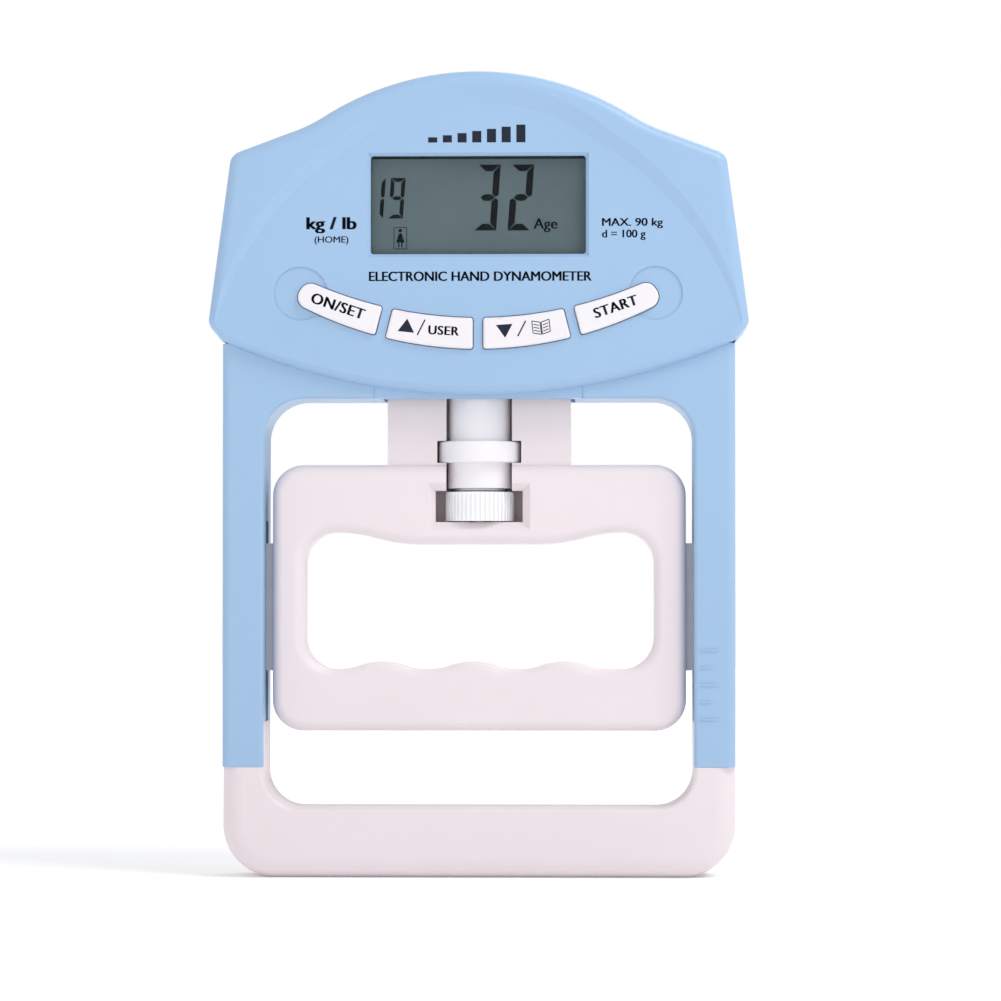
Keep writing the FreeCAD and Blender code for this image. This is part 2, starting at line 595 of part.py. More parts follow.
def palm_half_shell(label, near_side):
    body = new_body(label)
    depth = ("-arm_depth", "0") if near_side < 0 else ("0", "arm_depth")
    add_slab(body, label + "_block", *depth, rect("-arm_half", "arm_half", "0", "split_height - layer_gap"))
    dress(body, "Fillet", label + "_corner", "palm_corner", along_depth("arm_half", "0"))
    room = rect("-arm_inner_half", "arm_inner_half", "palm_inner_height", "split_height + 1")
    cut_slab(body, label + "_window", *depth, room)
    dress(body, "Fillet", label + "_inner_corner", "palm_inner_corner",
          along_depth("arm_inner_half", "palm_inner_height"))
    face = at_depth(depth[0] if near_side < 0 else depth[1])
    top = value("split_height - layer_gap")
    outer_face = lambda edge: (face(edge) and (edge.BoundBox.ZMin < value("palm_inner_height - 4")
                               or abs(edge.BoundBox.Center.x) > value("arm_half") - near)
                               and not edge.BoundBox.ZMin > top - near)
    outside = lambda edge: (outer_face(edge) and not inside(edge))
    inside = lambda edge: (face(edge) and edge.BoundBox.ZMin > value("palm_inner_height") - near
                           and abs(edge.BoundBox.Center.x) < value("arm_inner_half") + near
                           and edge.BoundBox.ZMin < top - near)
    dress(body, "Fillet", label + "_outer_edge", "palm_edge", outside)
    dress(body, "Fillet", label + "_inner_edge", "arm_inner_edge", inside)
    hollow = ("-arm_depth + palm_wall", "0") if near_side < 0 else ("0", "arm_depth - palm_wall")
    low = "palm_edge"
    high = "palm_inner_height - palm_wall"
    middle_half = "palm_screw_half - palm_post_half"
    side_room = rect("palm_screw_half + palm_post_half", "arm_inner_half - palm_wall - 1", low, high)
    cut_slab(body, label + "_hollow", *hollow, rect("-(%s)" % middle_half, middle_half, low, high), side_room,
             mirrored(side_room))
    tongue_face = "arm_depth - tongue_wall - layer_gap"
    tongue = ("-(%s)" % tongue_face, "0") if near_side < 0 else ("0", tongue_face)
    strip = rect("arm_inner_half", "arm_inner_half + tongue_thick", "split_height - 4",
                 "tongue_high - layer_gap")
    add_slab(body, label + "_tongues", *tongue, strip, mirrored(strip))
    return body


palm_front = palm_half_shell("palm_bar_front", -1)
cut_slab(palm_front, "palm_front_holes", "-palm_screw_reach - hole_over", "0",
         *round_screws(palm_screw_spots, "screw_shank + screw_fit"))
palm_rear = palm_half_shell("palm_bar_rear", 1)
cut_slab(palm_rear, "palm_rear_holes", "0", "arm_depth",
         *round_screws(palm_screw_spots, "screw_shank + screw_fit"))
cut_slab(palm_rear, "palm_rear_heads", "arm_depth - head_sunk - screw_head_thick - layer_gap", "arm_depth",
         *round_screws(palm_screw_spots, "screw_head + head_room"))


# handle, front and back halves
def grip_outline():
    """The finger window: a bulge above and a row of finger grooves below."""
    quarter = "finger_pitch / 4"
    wave = "((%s)^2 + (finger_rise / 2)^2) / finger_rise" % quarter
    floor = [("-grip_half", "grip_low")]
    crest = "(finger_shift + finger_pitch * %d)"
    for number in (-1, 0, 1):
        place = crest % number
        floor.append(("%s - finger_pitch / 2" % place, "grip_low", wave, "out"))
        floor.append(("%s - %s" % (place, quarter), "grip_low + finger_rise / 2", wave, "in"))
        floor.append((place, "grip_low + finger_rise", wave, "in"))
        floor.append(("%s + %s" % (place, quarter), "grip_low + finger_rise / 2", wave, "out"))
    floor.append(("%s + finger_pitch / 2" % (crest % 1), "grip_low"))
    floor.append(("grip_half", "grip_low"))
    reach = "((bulge_end - bulge_start) / 2)"
    bend = "(%s^2 + (bulge_drop / 2)^2) / bulge_drop" % reach
    middle = "bulge_start + " + reach
    drop = "grip_high - bulge_drop"
    roof = [
        ("grip_half", "grip_high"),
        ("bulge_end", "grip_high", bend, "out"),
        (middle, "grip_high - bulge_drop / 2", bend, "in"),
        ("bulge_start", drop),
        ("-bulge_start", drop, bend, "in"),
        ("-(%s)" % middle, "grip_high - bulge_drop / 2", bend, "out"),
        ("-bulge_end", "grip_high"),
        ("-grip_half", "grip_high"),
    ]
    return floor + roof


handle_screw_spots = [(sign + "handle_screw_half", up) for sign in ("", "-")
                      for up in ("(grip_high + handle_high) / 2", "(handle_low + grip_low) / 2")]


def handle_half_shell(label, near_side):
    body = new_body(label)
    depth = ("-handle_depth", "0") if near_side < 0 else ("0", "handle_depth")
    tab_depth = ("-tab_depth", "0") if near_side < 0 else ("0", "tab_depth")
    add_slab(body, label + "_block", *depth, rect("-handle_half", "handle_half", "handle_low", "handle_high"))
    dress(body, "Fillet", label + "_corner", "handle_corner",
          any_of(along_depth("handle_half", "handle_low"), along_depth("handle_half", "handle_high")))
    cut_slab(body, label + "_grip", *depth, grip_outline())
    dress(body, "Fillet", label + "_grip_corner", "grip_corner",
          any_of(along_depth("grip_half", "grip_low"), along_depth("grip_half", "grip_high")))
    face = at_depth(depth[0] if near_side < 0 else depth[1])
    dress(body, "Fillet", label + "_edge", "handle_edge", face)
    add_slab(body, label + "_tabs", *tab_depth,
             rect("-tab_half", "tab_half", "handle_high - 4", "tab_high"))
    rooms = {
        "collar": ("collar_radius + sleeve_clear", "collar_low - layer_gap", "collar_high + sleeve_clear"),
        "stem": ("sleeve_radius + stem_clear", "collar_high", "tab_high + 1"),
        "foot": ("sleeve_foot_radius + sleeve_clear", "slot_high - 1", "collar_low"),
    }
    # the front half is open so that the sleeve shows; the rear half cradles it
    for name, (half, low, high) in rooms.items():
        if near_side < 0:
            cut_slab(body, label + "_%s_room" % name, *depth, rect("-(%s)" % half, half, low, high))
        else:
            cut_post(body, label + "_%s_room" % name, low, high, ("0", "0", half))
    slot_depth = depth if near_side < 0 else ("0", "slot_deep")
    cut_slab(body, label + "_slot", *slot_depth, rect("-slot_half", "slot_half", "slot_low", "slot_high"))
    if near_side > 0:
        cut_post(body, label + "_wheel_room", "slot_low", "slot_high", ("0", "0", "wheel_room"))
    slot_edge = lambda edge: (face(edge) and edge.BoundBox.ZMin > value("slot_low") - near
                              and edge.BoundBox.ZMax < value("slot_high") + near
                              and abs(edge.BoundBox.Center.x) < value("slot_half") + near)
    if near_side < 0:
        dress(body, "Chamfer", label + "_wheel_bevel", "slot_bevel", slot_edge)
    cut_post(body, label + "_pivot", "slot_low - pivot_deep - fit_clear", "slot_low",
             ("0", "0", "pivot_radius + fit_clear"))
    runner_depth = ("-runner_half", "0") if near_side < 0 else ("0", "runner_half")
    runner_room = rect("runner_in", "handle_half + 1", "runner_low", "runner_high")
    cut_slab(body, label + "_runner_room", *runner_depth, runner_room, mirrored(runner_room))
    return body


handle_front = handle_half_shell("handle_front", -1)
cut_slab(handle_front, "handle_front_holes", "-handle_screw_reach - hole_over", "0",
         *round_screws(handle_screw_spots, "screw_shank + screw_fit"))
handle_rear = handle_half_shell("handle_rear", 1)
cut_slab(handle_rear, "handle_rear_holes", "0", "handle_depth",
         *round_screws(handle_screw_spots, "screw_shank + screw_fit"))
cut_slab(handle_rear, "handle_rear_heads",
         "handle_depth - handle_head_sunk - screw_head_thick - layer_gap", "handle_depth",
         *round_screws(handle_screw_spots, "screw_head + head_room"))

for side in ("left", "right"):
    runner = new_body("runner_" + side)
    strip = rect("runner_in", "runner_out", "runner_low", "runner_high")
    add_slab(runner, "runner_%s_bar" % side, "-runner_half", "runner_half",
             strip if side == "right" else mirrored(strip))

# sleeve, washer, wheel, screw and link, all round about the middle line
sleeve = new_body("guide_sleeve")
washer_low = "slot_high + layer_gap"
foot = washer_low + " + washer_thick + layer_gap"
bore_low = "link_low - raise - bore_room"
turn(sleeve, "sleeve_turned", [
    ("screw_pass", foot), ("sleeve_foot_radius", foot), ("sleeve_foot_radius", "collar_low"),
    ("collar_radius", "collar_low"), ("collar_radius", "collar_high"), ("sleeve_radius", "collar_high"),
    ("sleeve_radius", "tab_high"), ("sleeve_bore", "tab_high"), ("sleeve_bore", bore_low),
    ("screw_pass", bore_low)])
dress(sleeve, "Fillet", "sleeve_collar_edge", "collar_edge",
      lambda edge: abs(edge.BoundBox.XMax - value("collar_radius")) < near)

washer = new_body("thrust_washer")
turn(washer, "washer_turned", [
    ("screw_pass - washer_fit", washer_low), ("washer_radius", washer_low),
    ("washer_radius", washer_low + " + washer_thick"),
    ("screw_pass - washer_fit", washer_low + " + washer_thick")])

wheel = new_body("thumbwheel")
wheel_low = "slot_low + wheel_clear"
wheel_high = "slot_high - wheel_clear"
turn(wheel, "wheel_turned", [
    ("screw_radius + fit_clear / 2", wheel_low), ("wheel_radius", wheel_low), ("wheel_radius", wheel_high),
    ("screw_radius + fit_clear / 2", wheel_high)])
wheel_rim = lambda edge: (abs(edge.BoundBox.XMax - value("wheel_radius")) < near
                          and edge.BoundBox.ZLength < near)
dress(wheel, "Chamfer", "wheel_rim_edge", "wheel_edge", wheel_rim)

screw = new_body("adjusting_screw")
turn(screw, "screw_turned", [
    ("0", "slot_low - pivot_deep"), ("pivot_radius", "slot_low - pivot_deep"), ("pivot_radius", wheel_low),
    ("screw_radius", wheel_low), ("screw_radius", "screw_high - screw_tip"),
    ("screw_radius - screw_tip", "screw_high"),
    ("0", "screw_high")])

link = new_body("pull_link")
turn(link, "link_turned", [
    ("screw_radius + fit_clear", "link_low"), ("link_radius", "link_low"), ("link_radius", "beam_low"),
    ("stud_radius", "beam_low"), ("stud_radius", "beam_high + nut_thick + stud_proud"),
    ("0", "beam_high + nut_thick + stud_proud"), ("0", "screw_high + raise + tip_room"),
    ("screw_radius + fit_clear", "screw_high + raise + tip_room")])

nut = new_body("link_nut")
nut_flat = "nut_half * sin(60)"
add_post(nut, "nut_hexagon", "beam_high", "beam_high + nut_thick", [
    ("-nut_half", "0"), ("-nut_half / 2", "-(%s)" % nut_flat), ("nut_half / 2", "-(%s)" % nut_flat),
    ("nut_half", "0"), ("nut_half / 2", nut_flat), ("-nut_half / 2", nut_flat)])
cut_post(nut, "nut_bore", "beam_high", "beam_high + nut_thick", ("0", "0", "stud_radius + fit_clear / 2"))

# load cell
beam = new_body("load_cell")
add_slab(beam, "beam_block", "-beam_half", "beam_half",
         rect("beam_left", "beam_right", "beam_low", "beam_high"))
eye_height = "(beam_low + beam_high) / 2"
slot = rect("eye_left", "eye_right", eye_height + " - eye_slot_half", eye_height + " + eye_slot_half")
cut_slab(beam, "beam_slot", "-beam_half", "beam_half", slot)
cut_slab(beam, "beam_eyes", "-beam_half", "beam_half", ("eye_left", eye_height, "eye_radius"),
         ("eye_right", eye_height, "eye_radius"))
bracket_screw_spots = [("bracket_left + bracket_screw_in", "0"), ("bracket_right - bracket_screw_in", "0")]
cut_post(beam, "beam_stud_hole", "beam_low", "beam_high", ("0", "0", "stud_radius + fit_clear / 2"),
         *[(across, up, "screw_shank + screw_fit") for across, up in bracket_screw_spots])

gauges = doc.addObject("Part::Compound", "strain_gauges")
gauges.Label = "strain_gauges"
pads = []
for number, across in enumerate(("eye_left - gauge_long / 2", "eye_right - gauge_long / 2")):
    pad = doc.addObject("Part::Box", "gauge_pad_%d" % number)
    for prop, text in (("Length", "gauge_long"), ("Width", "gauge_wide"), ("Height", "gauge_thick"),
                       ("Placement.Base.x", across), ("Placement.Base.y", "-gauge_wide / 2"),
                       ("Placement.Base.z", "beam_high")):
        bind(pad, prop, text)
    pads.append(pad)
gauges.Links = pads

bracket = new_body("load_cell_bracket")
add_slab(bracket, "bracket_block", "-bracket_half", "bracket_half",
         rect("bracket_left", "bracket_right", "bridge_high", "beam_low"))
cut_post(bracket, "bracket_holes", "beam_low - bracket_screw_deep - hole_over", "beam_low",
         *[(across, up, "screw_shank + screw_fit") for across, up in bracket_screw_spots])

# display stack and board
window_front = panel_back + " + layer_gap"
lcd_front = window_front + " + window_thick + layer_gap"
strip_front = lcd_front + " + lcd_thick"
board_front = strip_front + " + strip_thick"
pane = new_body("lcd_window")
add_slab(pane, "pane", window_front, window_front + " + window_thick",
         rect("-display_half - pane_over", "display_half + pane_over", "display_low - pane_over",
              "display_high + pane_top_over"))
glass = new_body("lcd_panel")
add_slab(glass, "glass", lcd_front, lcd_front + " + lcd_thick",
         rect("-display_half - glass_over", "display_half + glass_over", "display_low - glass_low_over",
              "display_high + pane_over"))
board = new_body("main_board")
add_slab(board, "board", board_front, board_front + " + board_thick",
         both_sides([("board_half", "board_low"), ("board_half", "board_high - board_corner_drop"),
                     ("board_half - board_corner_in", "board_high")]))
chip = new_body("chip_cover")
chip_back = board_front + " + board_thick"
add_slab(chip, "chip_blob", chip_back, chip_back + " + chip_thick",
         ("-chip_across", "chip_height", "chip_radius"))
dress(chip, "Fillet", "chip_rounding", "chip_round", lambda edge: edge.BoundBox.YMin > value(chip_back) + 1)


def box_group(label, boxes):
    """Separate like pieces kept in one node; each box is left, front, low, length, width, height."""
    group = doc.addObject("Part::Compound", label)
    group.Label = label
    members = []
    for number, texts in enumerate(boxes):
        item = doc.addObject("Part::Box", "%s_%d" % (label, number))
        props = ("Placement.Base.x", "Placement.Base.y", "Placement.Base.z", "Length", "Width", "Height")
        for prop, text in zip(props, texts):
            bind(item, prop, text)
        members.append(item)
    group.Links = members
    return group


strip_long = "display_half * 2 - strip_inset * 2"
box_group("contact_strips", [
    ("-display_half + strip_inset", strip_front, low, strip_long, "strip_thick", wide)
    for low, wide in (("display_low - strip_low", "strip_wide"),
                      ("display_high - strip_top_in", "strip_top_wide"))])

# keys, plungers and switches
flange_front = panel_back + " + layer_gap"
flange_back = flange_front + " + key_flange_thick"
switch_front = board_front + " - switch_thick"
for key in keys:
    cap = new_body("button_" + key)
    add_slab(cap, "cap_%s_flange" % key, flange_front, flange_back, key_outline(*keys[key], "key_flange"))
    round_key(cap, "cap_%s_flange" % key, key, "key_flange")
    stem = new_body("cap_%s_body" % key)
    add_slab(stem, "cap_%s_top" % key, panel + " - key_proud", flange_front, key_outline(*keys[key], "0"))
    round_key(stem, "cap_%s_top" % key, key, "0")
    dress(stem, "Fillet", "cap_%s_edge" % key, "key_edge", at_depth(panel + " - key_proud"))
    cap.Label = "cap_%s_base" % key
    joined = doc.addObject("Part::Fuse", "button_%s_whole" % key)
    joined.Base = cap
    joined.Tool = stem
    joined.Label = "button_" + key

    plunger = new_body("switch_plunger_" + key)
    across, up = key_middle[key]
    plunger_back = board_front + " - key_travel - layer_gap"
    add_slab(plunger, "plunger_" + key, flange_back, plunger_back, (across, up, "plunger_radius"))

switches = doc.addObject("Part::Compound", "switch_bodies")
switches.Label = "switch_bodies"
members = []
for key in keys:
    across, up = key_middle[key]
    block = doc.addObject("Part::Box", "switch_block_" + key)
    for prop, text in (("Length", "switch_half * 2"), ("Height", "switch_half * 2"),
                       ("Width", "switch_thick"), ("Placement.Base.x", across + " - switch_half"),
                       ("Placement.Base.y", switch_front),
                       ("Placement.Base.z", up + " - switch_half")):
        bind(block, prop, text)
    hole = doc.addObject("Part::Cylinder", "switch_hole_" + key)
    hole.Placement.Rotation = FreeCAD.Rotation(Vector(1, 0, 0), -90)
    for prop, text in (("Radius", "plunger_radius + plunger_clear"), ("Height", "switch_thick + 2"),
                       ("Placement.Base.x", across), ("Placement.Base.y", switch_front + " - 1"),
                       ("Placement.Base.z", up)):
        bind(hole, prop, text)
    pierced = doc.addObject("Part::Cut", "switch_" + key)
    pierced.Base = block
    pierced.Tool = hole
    members.append(pierced)
switches.Links = members

# batteries
tray = new_body("battery_tray")
add_slab(tray, "tray_block", "tray_front", "tray_back",
         rect("-tray_half", "tray_half", "tray_low", "tray_high"))
cut_slab(tray, "tray_room", "tray_front + tray_wall", "tray_back",
         rect("-tray_half + tray_wall", "tray_half - tray_wall", "tray_low + tray_wall",
              "tray_high - tray_wall"))
contact_x = "tray_half - tray_wall - contact_thick"
box_group("battery_contacts", [
    (sign + across, "tray_back - contact_wide - tray_clear", level + " - contact_wide / 2", "contact_thick",
     "contact_wide", "contact_wide")
    for sign, across in (("", contact_x), ("-", "(tray_half - tray_wall)"))
    for level in ("cell_low", "cell_high")])

cells = doc.addObject("Part::Compound", "battery_cells")
cells.Label = "battery_cells"
members = []
for number, (level, sign) in enumerate((("cell_low", 1), ("cell_high", -1))):
    parts = []
    for name, radius, length, start in (
            ("can", "cell_radius - 0.05", "cell_half * 2 - nub_long", "-cell_half"),
            ("nub", "nub_radius", "nub_long", "cell_half - nub_long")):
        item = doc.addObject("Part::Cylinder", "cell_%s_%d" % (name, number))
        item.Placement.Rotation = FreeCAD.Rotation(Vector(0, 1, 0), 90 * sign)
        place = "(%s) * %d" % (start, sign)
        for prop, text in (("Radius", radius), ("Height", length), ("Placement.Base.x", place),
                           ("Placement.Base.y", "cell_depth"), ("Placement.Base.z", level)):
            bind(item, prop, text)
        parts.append(item)
    whole = doc.addObject("Part::Fuse", "cell_%d" % number)
    whole.Base, whole.Tool = parts
    members.append(whole)
cells.Links = members

springs = doc.addObject("Part::Compound", "battery_springs")
springs.Label = "battery_springs"
members = []
for number, (level, sign) in enumerate((("cell_low", -1), ("cell_high", 1))):
    for ring in range(3):
        item = doc.addObject("Part::Torus", "spring_ring_%d_%d" % (number, ring))
        item.Placement.Rotation = FreeCAD.Rotation(Vector(0, 1, 0), 90)
        place = "(cell_half + wire_radius + 0.1 + %d * wire_radius * 2) * %d" % (ring, sign)
        for prop, text in (("Radius1", "spring_radius"), ("Radius2", "wire_radius"),
                           ("Placement.Base.x", place), ("Placement.Base.y", "cell_depth"),
                           ("Placement.Base.z", level)):
            bind(item, prop, text)
        members.append(item)
springs.Links = members


# screws, each set in one node
def screw_set(label, spots, back_face, reach):
    """Pan-head screws that go in from the back."""
    group = doc.addObject("Part::Compound", label)
    group.Label = label
    whole = []
    for number, (across, up) in enumerate(spots):
        parts = []
        for name, radius, length, start in (
                ("head", "screw_head", "screw_head_thick", back_face + " - screw_head_thick"),
                ("shank", "screw_shank", "%s - screw_head_thick - (%s)" % (back_face, reach), reach)):
            item = doc.addObject("Part::Cylinder", "%s_%s_%d" % (label, name, number))
            item.Placement.Rotation = FreeCAD.Rotation(Vector(1, 0, 0), -90)
            for prop, text in (("Radius", radius), ("Height", length), ("Placement.Base.x", across),
                               ("Placement.Base.y", start), ("Placement.Base.z", up)):
                bind(item, prop, text)
            parts.append(item)
        joined = doc.addObject("Part::Fuse", "%s_%d" % (label, number))
        joined.Base, joined.Tool = parts
        whole.append(joined)
    group.Links = whole


screw_set("shell_screws", shell_screw_spots, back + " - head_sunk", "-screw_reach")
screw_set("arm_screws", arm_screw_spots, "arm_depth - head_sunk", "-screw_reach")
screw_set("palm_screws", palm_screw_spots, "arm_depth - head_sunk", "-palm_screw_reach")
screw_set("handle_screws", handle_screw_spots, "handle_depth - handle_head_sunk", "-handle_screw_reach")

bracket_screws = doc.addObject("Part::Compound", "bracket_screws")
bracket_screws.Label = "bracket_screws"
members = []
for number, (across, depth) in enumerate(bracket_screw_spots):
    parts = []
    tip = "beam_low - bracket_screw_deep"
    for name, radius, length, start in (("head", "screw_head", "screw_head_thick", "beam_high"),
                                        ("shank", "screw_shank", "beam_high - (%s)" % tip, tip)):
        item = doc.addObject("Part::Cylinder", "bracket_screw_%s_%d" % (name, number))
        for prop, text in (("Radius", radius), ("Height", length), ("Placement.Base.x", across),
                           ("Placement.Base.y", depth), ("Placement.Base.z", start)):
            bind(item, prop, text)
        parts.append(item)
    joined = doc.addObject("Part::Fuse", "bracket_screw_%d" % number)
    joined.Base, joined.Tool = parts
    members.append(joined)
bracket_screws.Links = members

doc.recompute()

# checks and export
nodes = [
    "front_cover", "rear_cover", "battery_door", "frame_front", "frame_rear", "palm_bar_front",
    "palm_bar_rear", "handle_front", "handle_rear", "runner_left", "runner_right", "guide_sleeve",
    "thrust_washer", "thumbwheel", "adjusting_screw", "pull_link", "link_nut", "load_cell",
    "strain_gauges", "load_cell_bracket", "bracket_screws", "lcd_window", "lcd_panel", "main_board",
    "chip_cover", "contact_strips", "switch_bodies", "battery_tray", "battery_contacts",
    "battery_cells", "battery_springs", "shell_screws", "arm_screws", "palm_screws", "handle_screws",
]
nodes += ["button_" + key for key in keys] + ["switch_plunger_" + key for key in keys]
faults = []
for item in doc.Objects:
    if "Invalid" in item.State or "Error" in item.State:
        faults.append("%s is %s" % (item.Name, item.State))
    if item.TypeId == "PartDesign::Pocket" and item.BaseFeature and not item.Shape.isNull():
        if item.Shape.Volume > item.BaseFeature.Shape.Volume - 0.01:
            faults.append(item.Name + " removes nothing")
for node in nodes:
    found = doc.getObjectsByLabel(node)
    if len(found) != 1 or found[0].Shape.isNull() or not found[0].Shape.isValid():
        faults.append(node + " has no sound shape")
if faults:
    raise ValueError("; ".join(faults))
for node in nodes:
    item = doc.getObjectsByLabel(node)[0]
    item.Shape.exportStep(os.path.join("parts", node + ".step"))
    print(node, len(item.Shape.Solids), round(item.Shape.Volume, 1))
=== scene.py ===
import math
import bpy
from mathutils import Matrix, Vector


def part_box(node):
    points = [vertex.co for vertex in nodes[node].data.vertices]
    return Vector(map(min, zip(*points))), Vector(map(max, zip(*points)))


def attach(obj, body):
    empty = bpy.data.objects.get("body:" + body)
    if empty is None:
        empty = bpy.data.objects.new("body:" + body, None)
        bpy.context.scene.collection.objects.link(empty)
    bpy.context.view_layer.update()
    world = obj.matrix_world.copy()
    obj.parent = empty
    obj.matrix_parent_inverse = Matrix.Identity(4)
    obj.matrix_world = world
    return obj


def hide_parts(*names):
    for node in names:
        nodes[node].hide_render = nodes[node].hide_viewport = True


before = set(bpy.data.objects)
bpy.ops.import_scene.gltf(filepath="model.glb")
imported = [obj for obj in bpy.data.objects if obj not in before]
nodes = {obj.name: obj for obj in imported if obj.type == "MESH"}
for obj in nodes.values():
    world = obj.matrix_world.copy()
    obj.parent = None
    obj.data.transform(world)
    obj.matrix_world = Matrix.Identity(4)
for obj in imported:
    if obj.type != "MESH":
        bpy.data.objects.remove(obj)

mm = 0.001
weldTiny, weldNear = 0.0001 * mm, 0.002 * mm  # corners this close are made one
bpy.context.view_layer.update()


# small helpers
def linear(hexText):
    # sRGB hex to a linear colour
    channels = [int(hexText[i:i + 2], 16) / 255 for i in (1, 3, 5)]
    return tuple(c / 12.92 if c <= 0.04045 else ((c + 0.055) / 1.055) ** 2.4 for c in channels) + (1.0,)


def deselectAll():
    if bpy.context.object and bpy.context.object.mode != "OBJECT":
        leaveEdit()
    bpy.ops.object.select_all(action="DESELECT")


def makeActive(piece):
    deselectAll()
    piece.select_set(True)
    bpy.context.view_layer.objects.active = piece


def leaveEdit():
    bpy.ops.object.mode_set(mode="OBJECT")


def settle(piece):
    # place, turn and size go into the mesh, so the object sits at the origin
    makeActive(piece)
    bpy.ops.object.transform_apply(location=True, rotation=True, scale=True)


def pickFaces(piece, test):
    # opens the piece in edit mode with just the faces that pass the test selected
    makeActive(piece)
    bpy.ops.object.mode_set(mode="EDIT")
    bpy.ops.mesh.select_mode(type="FACE")
    bpy.ops.mesh.select_all(action="DESELECT")
    leaveEdit()
    for face in piece.data.polygons:
        face.select = test(face)
    bpy.ops.object.mode_set(mode="EDIT")


def weld(piece, reach):
    # opens the piece in edit mode, all selected, with corners closer than the reach made one
    makeActive(piece)
    bpy.ops.object.mode_set(mode="EDIT")
    bpy.ops.mesh.select_all(action="SELECT")
    bpy.ops.mesh.remove_doubles(threshold=reach)


def joinAll(pieces, name):
    deselectAll()
    for piece in pieces:
        piece.select_set(True)
    bpy.context.view_layer.objects.active = pieces[0]
    if len(pieces) > 1:
        bpy.ops.object.join()
    whole = bpy.context.view_layer.objects.active
    whole.name = name
    whole.data.name = name
    return whole


def copyOf(piece):
    twin = piece.copy()
    twin.data = piece.data.copy()
    bpy.context.scene.collection.objects.link(twin)
    return twin


def applyModifier(piece, kind, **settings):
    makeActive(piece)
    modifier = piece.modifiers.new(kind.title(), kind)
    for key, value in settings.items():
        setattr(modifier, key, value)
    bpy.ops.object.modifier_apply(modifier=modifier.name)


def roundEdges(piece, width, steps, degrees):
    # bevels the edges that turn by more than the angle
    applyModifier(piece, "BEVEL", width=width, segments=steps, limit_method="ANGLE",
                  angle_limit=math.radians(degrees))


def smooth(piece, degrees):
    makeActive(piece)
    bpy.ops.object.shade_smooth_by_angle(angle=math.radians(degrees))


def dress(piece, material, body, replaced=()):
    piece.data.materials.clear()
    piece.data.materials.append(material)
    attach(piece, body)
    if replaced:
        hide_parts(*replaced)
    return piece


# materials
mixShare, mixFirst, mixSecond = 0, 6, 7  # input sockets of a colour mix, by number
mixResult = 2  # its output socket


def addNode(tree, kind, settings=None, links=None):
    # adds a node, sets its values and links its inputs to (node, output) pairs
    node = tree.nodes.new(kind)
    for key, value in (settings or {}).items():
        if isinstance(key, str) and hasattr(node, key):
            setattr(node, key, value)
        else:
            node.inputs[key].default_value = value
    for key, (source, output) in (links or {}).items():
        tree.links.new(source.outputs[output], node.inputs[key])
    return node


def newMaterial(name):
    material = bpy.data.materials.new(name)
    material.use_nodes = True
    tree = material.node_tree
    tree.nodes.clear()
    shader = addNode(tree, "ShaderNodeBsdfPrincipled")
    addNode(tree, "ShaderNodeOutputMaterial", {}, {"Surface": (shader, "BSDF")})
    coordinates = addNode(tree, "ShaderNodeTexCoord")
    return material, tree, shader, coordinates


plasticLook = {"cloudDetail": 3.0, "grainDetail": 2.0, "grainRough": 0.6, "ior": 1.53,
               "glowReach": (0.002, 0.0016, 0.0016), "glowScale": 0.6}


def mouldedPlastic(name, look):
    # injection-moulded plastic: a fine spark-eroded grain, faint flow clouds and slightly uneven gloss
    material, tree, shader, coordinates = newMaterial(name)
    look = {**plasticLook, **look}
    clouds = addNode(tree, "ShaderNodeTexNoise",
                     {"Scale": 1 / (look["cloudMm"] * mm), "Detail": look["cloudDetail"]},
                     {"Vector": (coordinates, "Object")})
    shade = addNode(tree, "ShaderNodeMix", {"data_type": "RGBA", mixFirst: linear(look["light"]),
                                            mixSecond: linear(look["deep"])}, {mixShare: (clouds, "Fac")})
    tree.links.new(shade.outputs[mixResult], shader.inputs["Base Color"])
    grain = addNode(tree, "ShaderNodeTexNoise",
                    {"Scale": 1 / (look["grainMm"] * mm), "Detail": look["grainDetail"],
                     "Roughness": look["grainRough"]}, {"Vector": (coordinates, "Object")})
    gloss = addNode(tree, "ShaderNodeMapRange", {"To Min": look["glossy"], "To Max": look["dull"]},
                    {"Value": (grain, "Fac")})
    tree.links.new(gloss.outputs["Result"], shader.inputs["Roughness"])
    bump = addNode(tree, "ShaderNodeBump", {"Strength": look["grain"], "Distance": look["grainDeepMm"] * mm},
                   {"Height": (grain, "Fac")})
    tree.links.new(bump.outputs["Normal"], shader.inputs["Normal"])
    shader.inputs["IOR"].default_value = look["ior"]
    shader.inputs["Subsurface Weight"].default_value = look.get("glow", 0.0)
    shader.inputs["Subsurface Radius"].default_value = look["glowReach"]
    shader.inputs["Subsurface Scale"].default_value = look["glowScale"]
    shader.inputs["Coat Weight"].default_value = look.get("coat", 0.0)
    return material


# moulded ABS, pale blue: satin, so highlights spread wide along the rounded rim
blueAbs = mouldedPlastic("mouldedBlueAbs", {
    "light": "#9BBBDC", "deep": "#96B6D8", "cloudMm": 30, "grainMm": 0.35, "grainDeepMm": 0.02,
    "grain": 0.12, "glossy": 0.34, "dull": 0.44, "glow": 0.04})
# moulded ABS, warm white with a breath of pink: the grip and the palm bar
whiteAbs = mouldedPlastic("mouldedWhiteAbs", {
    "light": "#E6DCE0", "deep": "#E1D7DB", "cloudMm": 25, "grainMm": 0.35, "grainDeepMm": 0.02,
    "grain": 0.12, "glossy": 0.36, "dull": 0.47, "glow": 0.06})
# moulded acetal: a colder, waxier white than the ABS round it
sleeveAcetal = mouldedPlastic("mouldedWhiteAcetal", {
    "light": "#EFECF0", "deep": "#E8E5E9", "cloudMm": 12, "grainMm": 0.5, "grainDeepMm": 0.01,
    "grain": 0.08, "glossy": 0.28, "dull": 0.36, "ior": 1.48, "glow": 0.08})
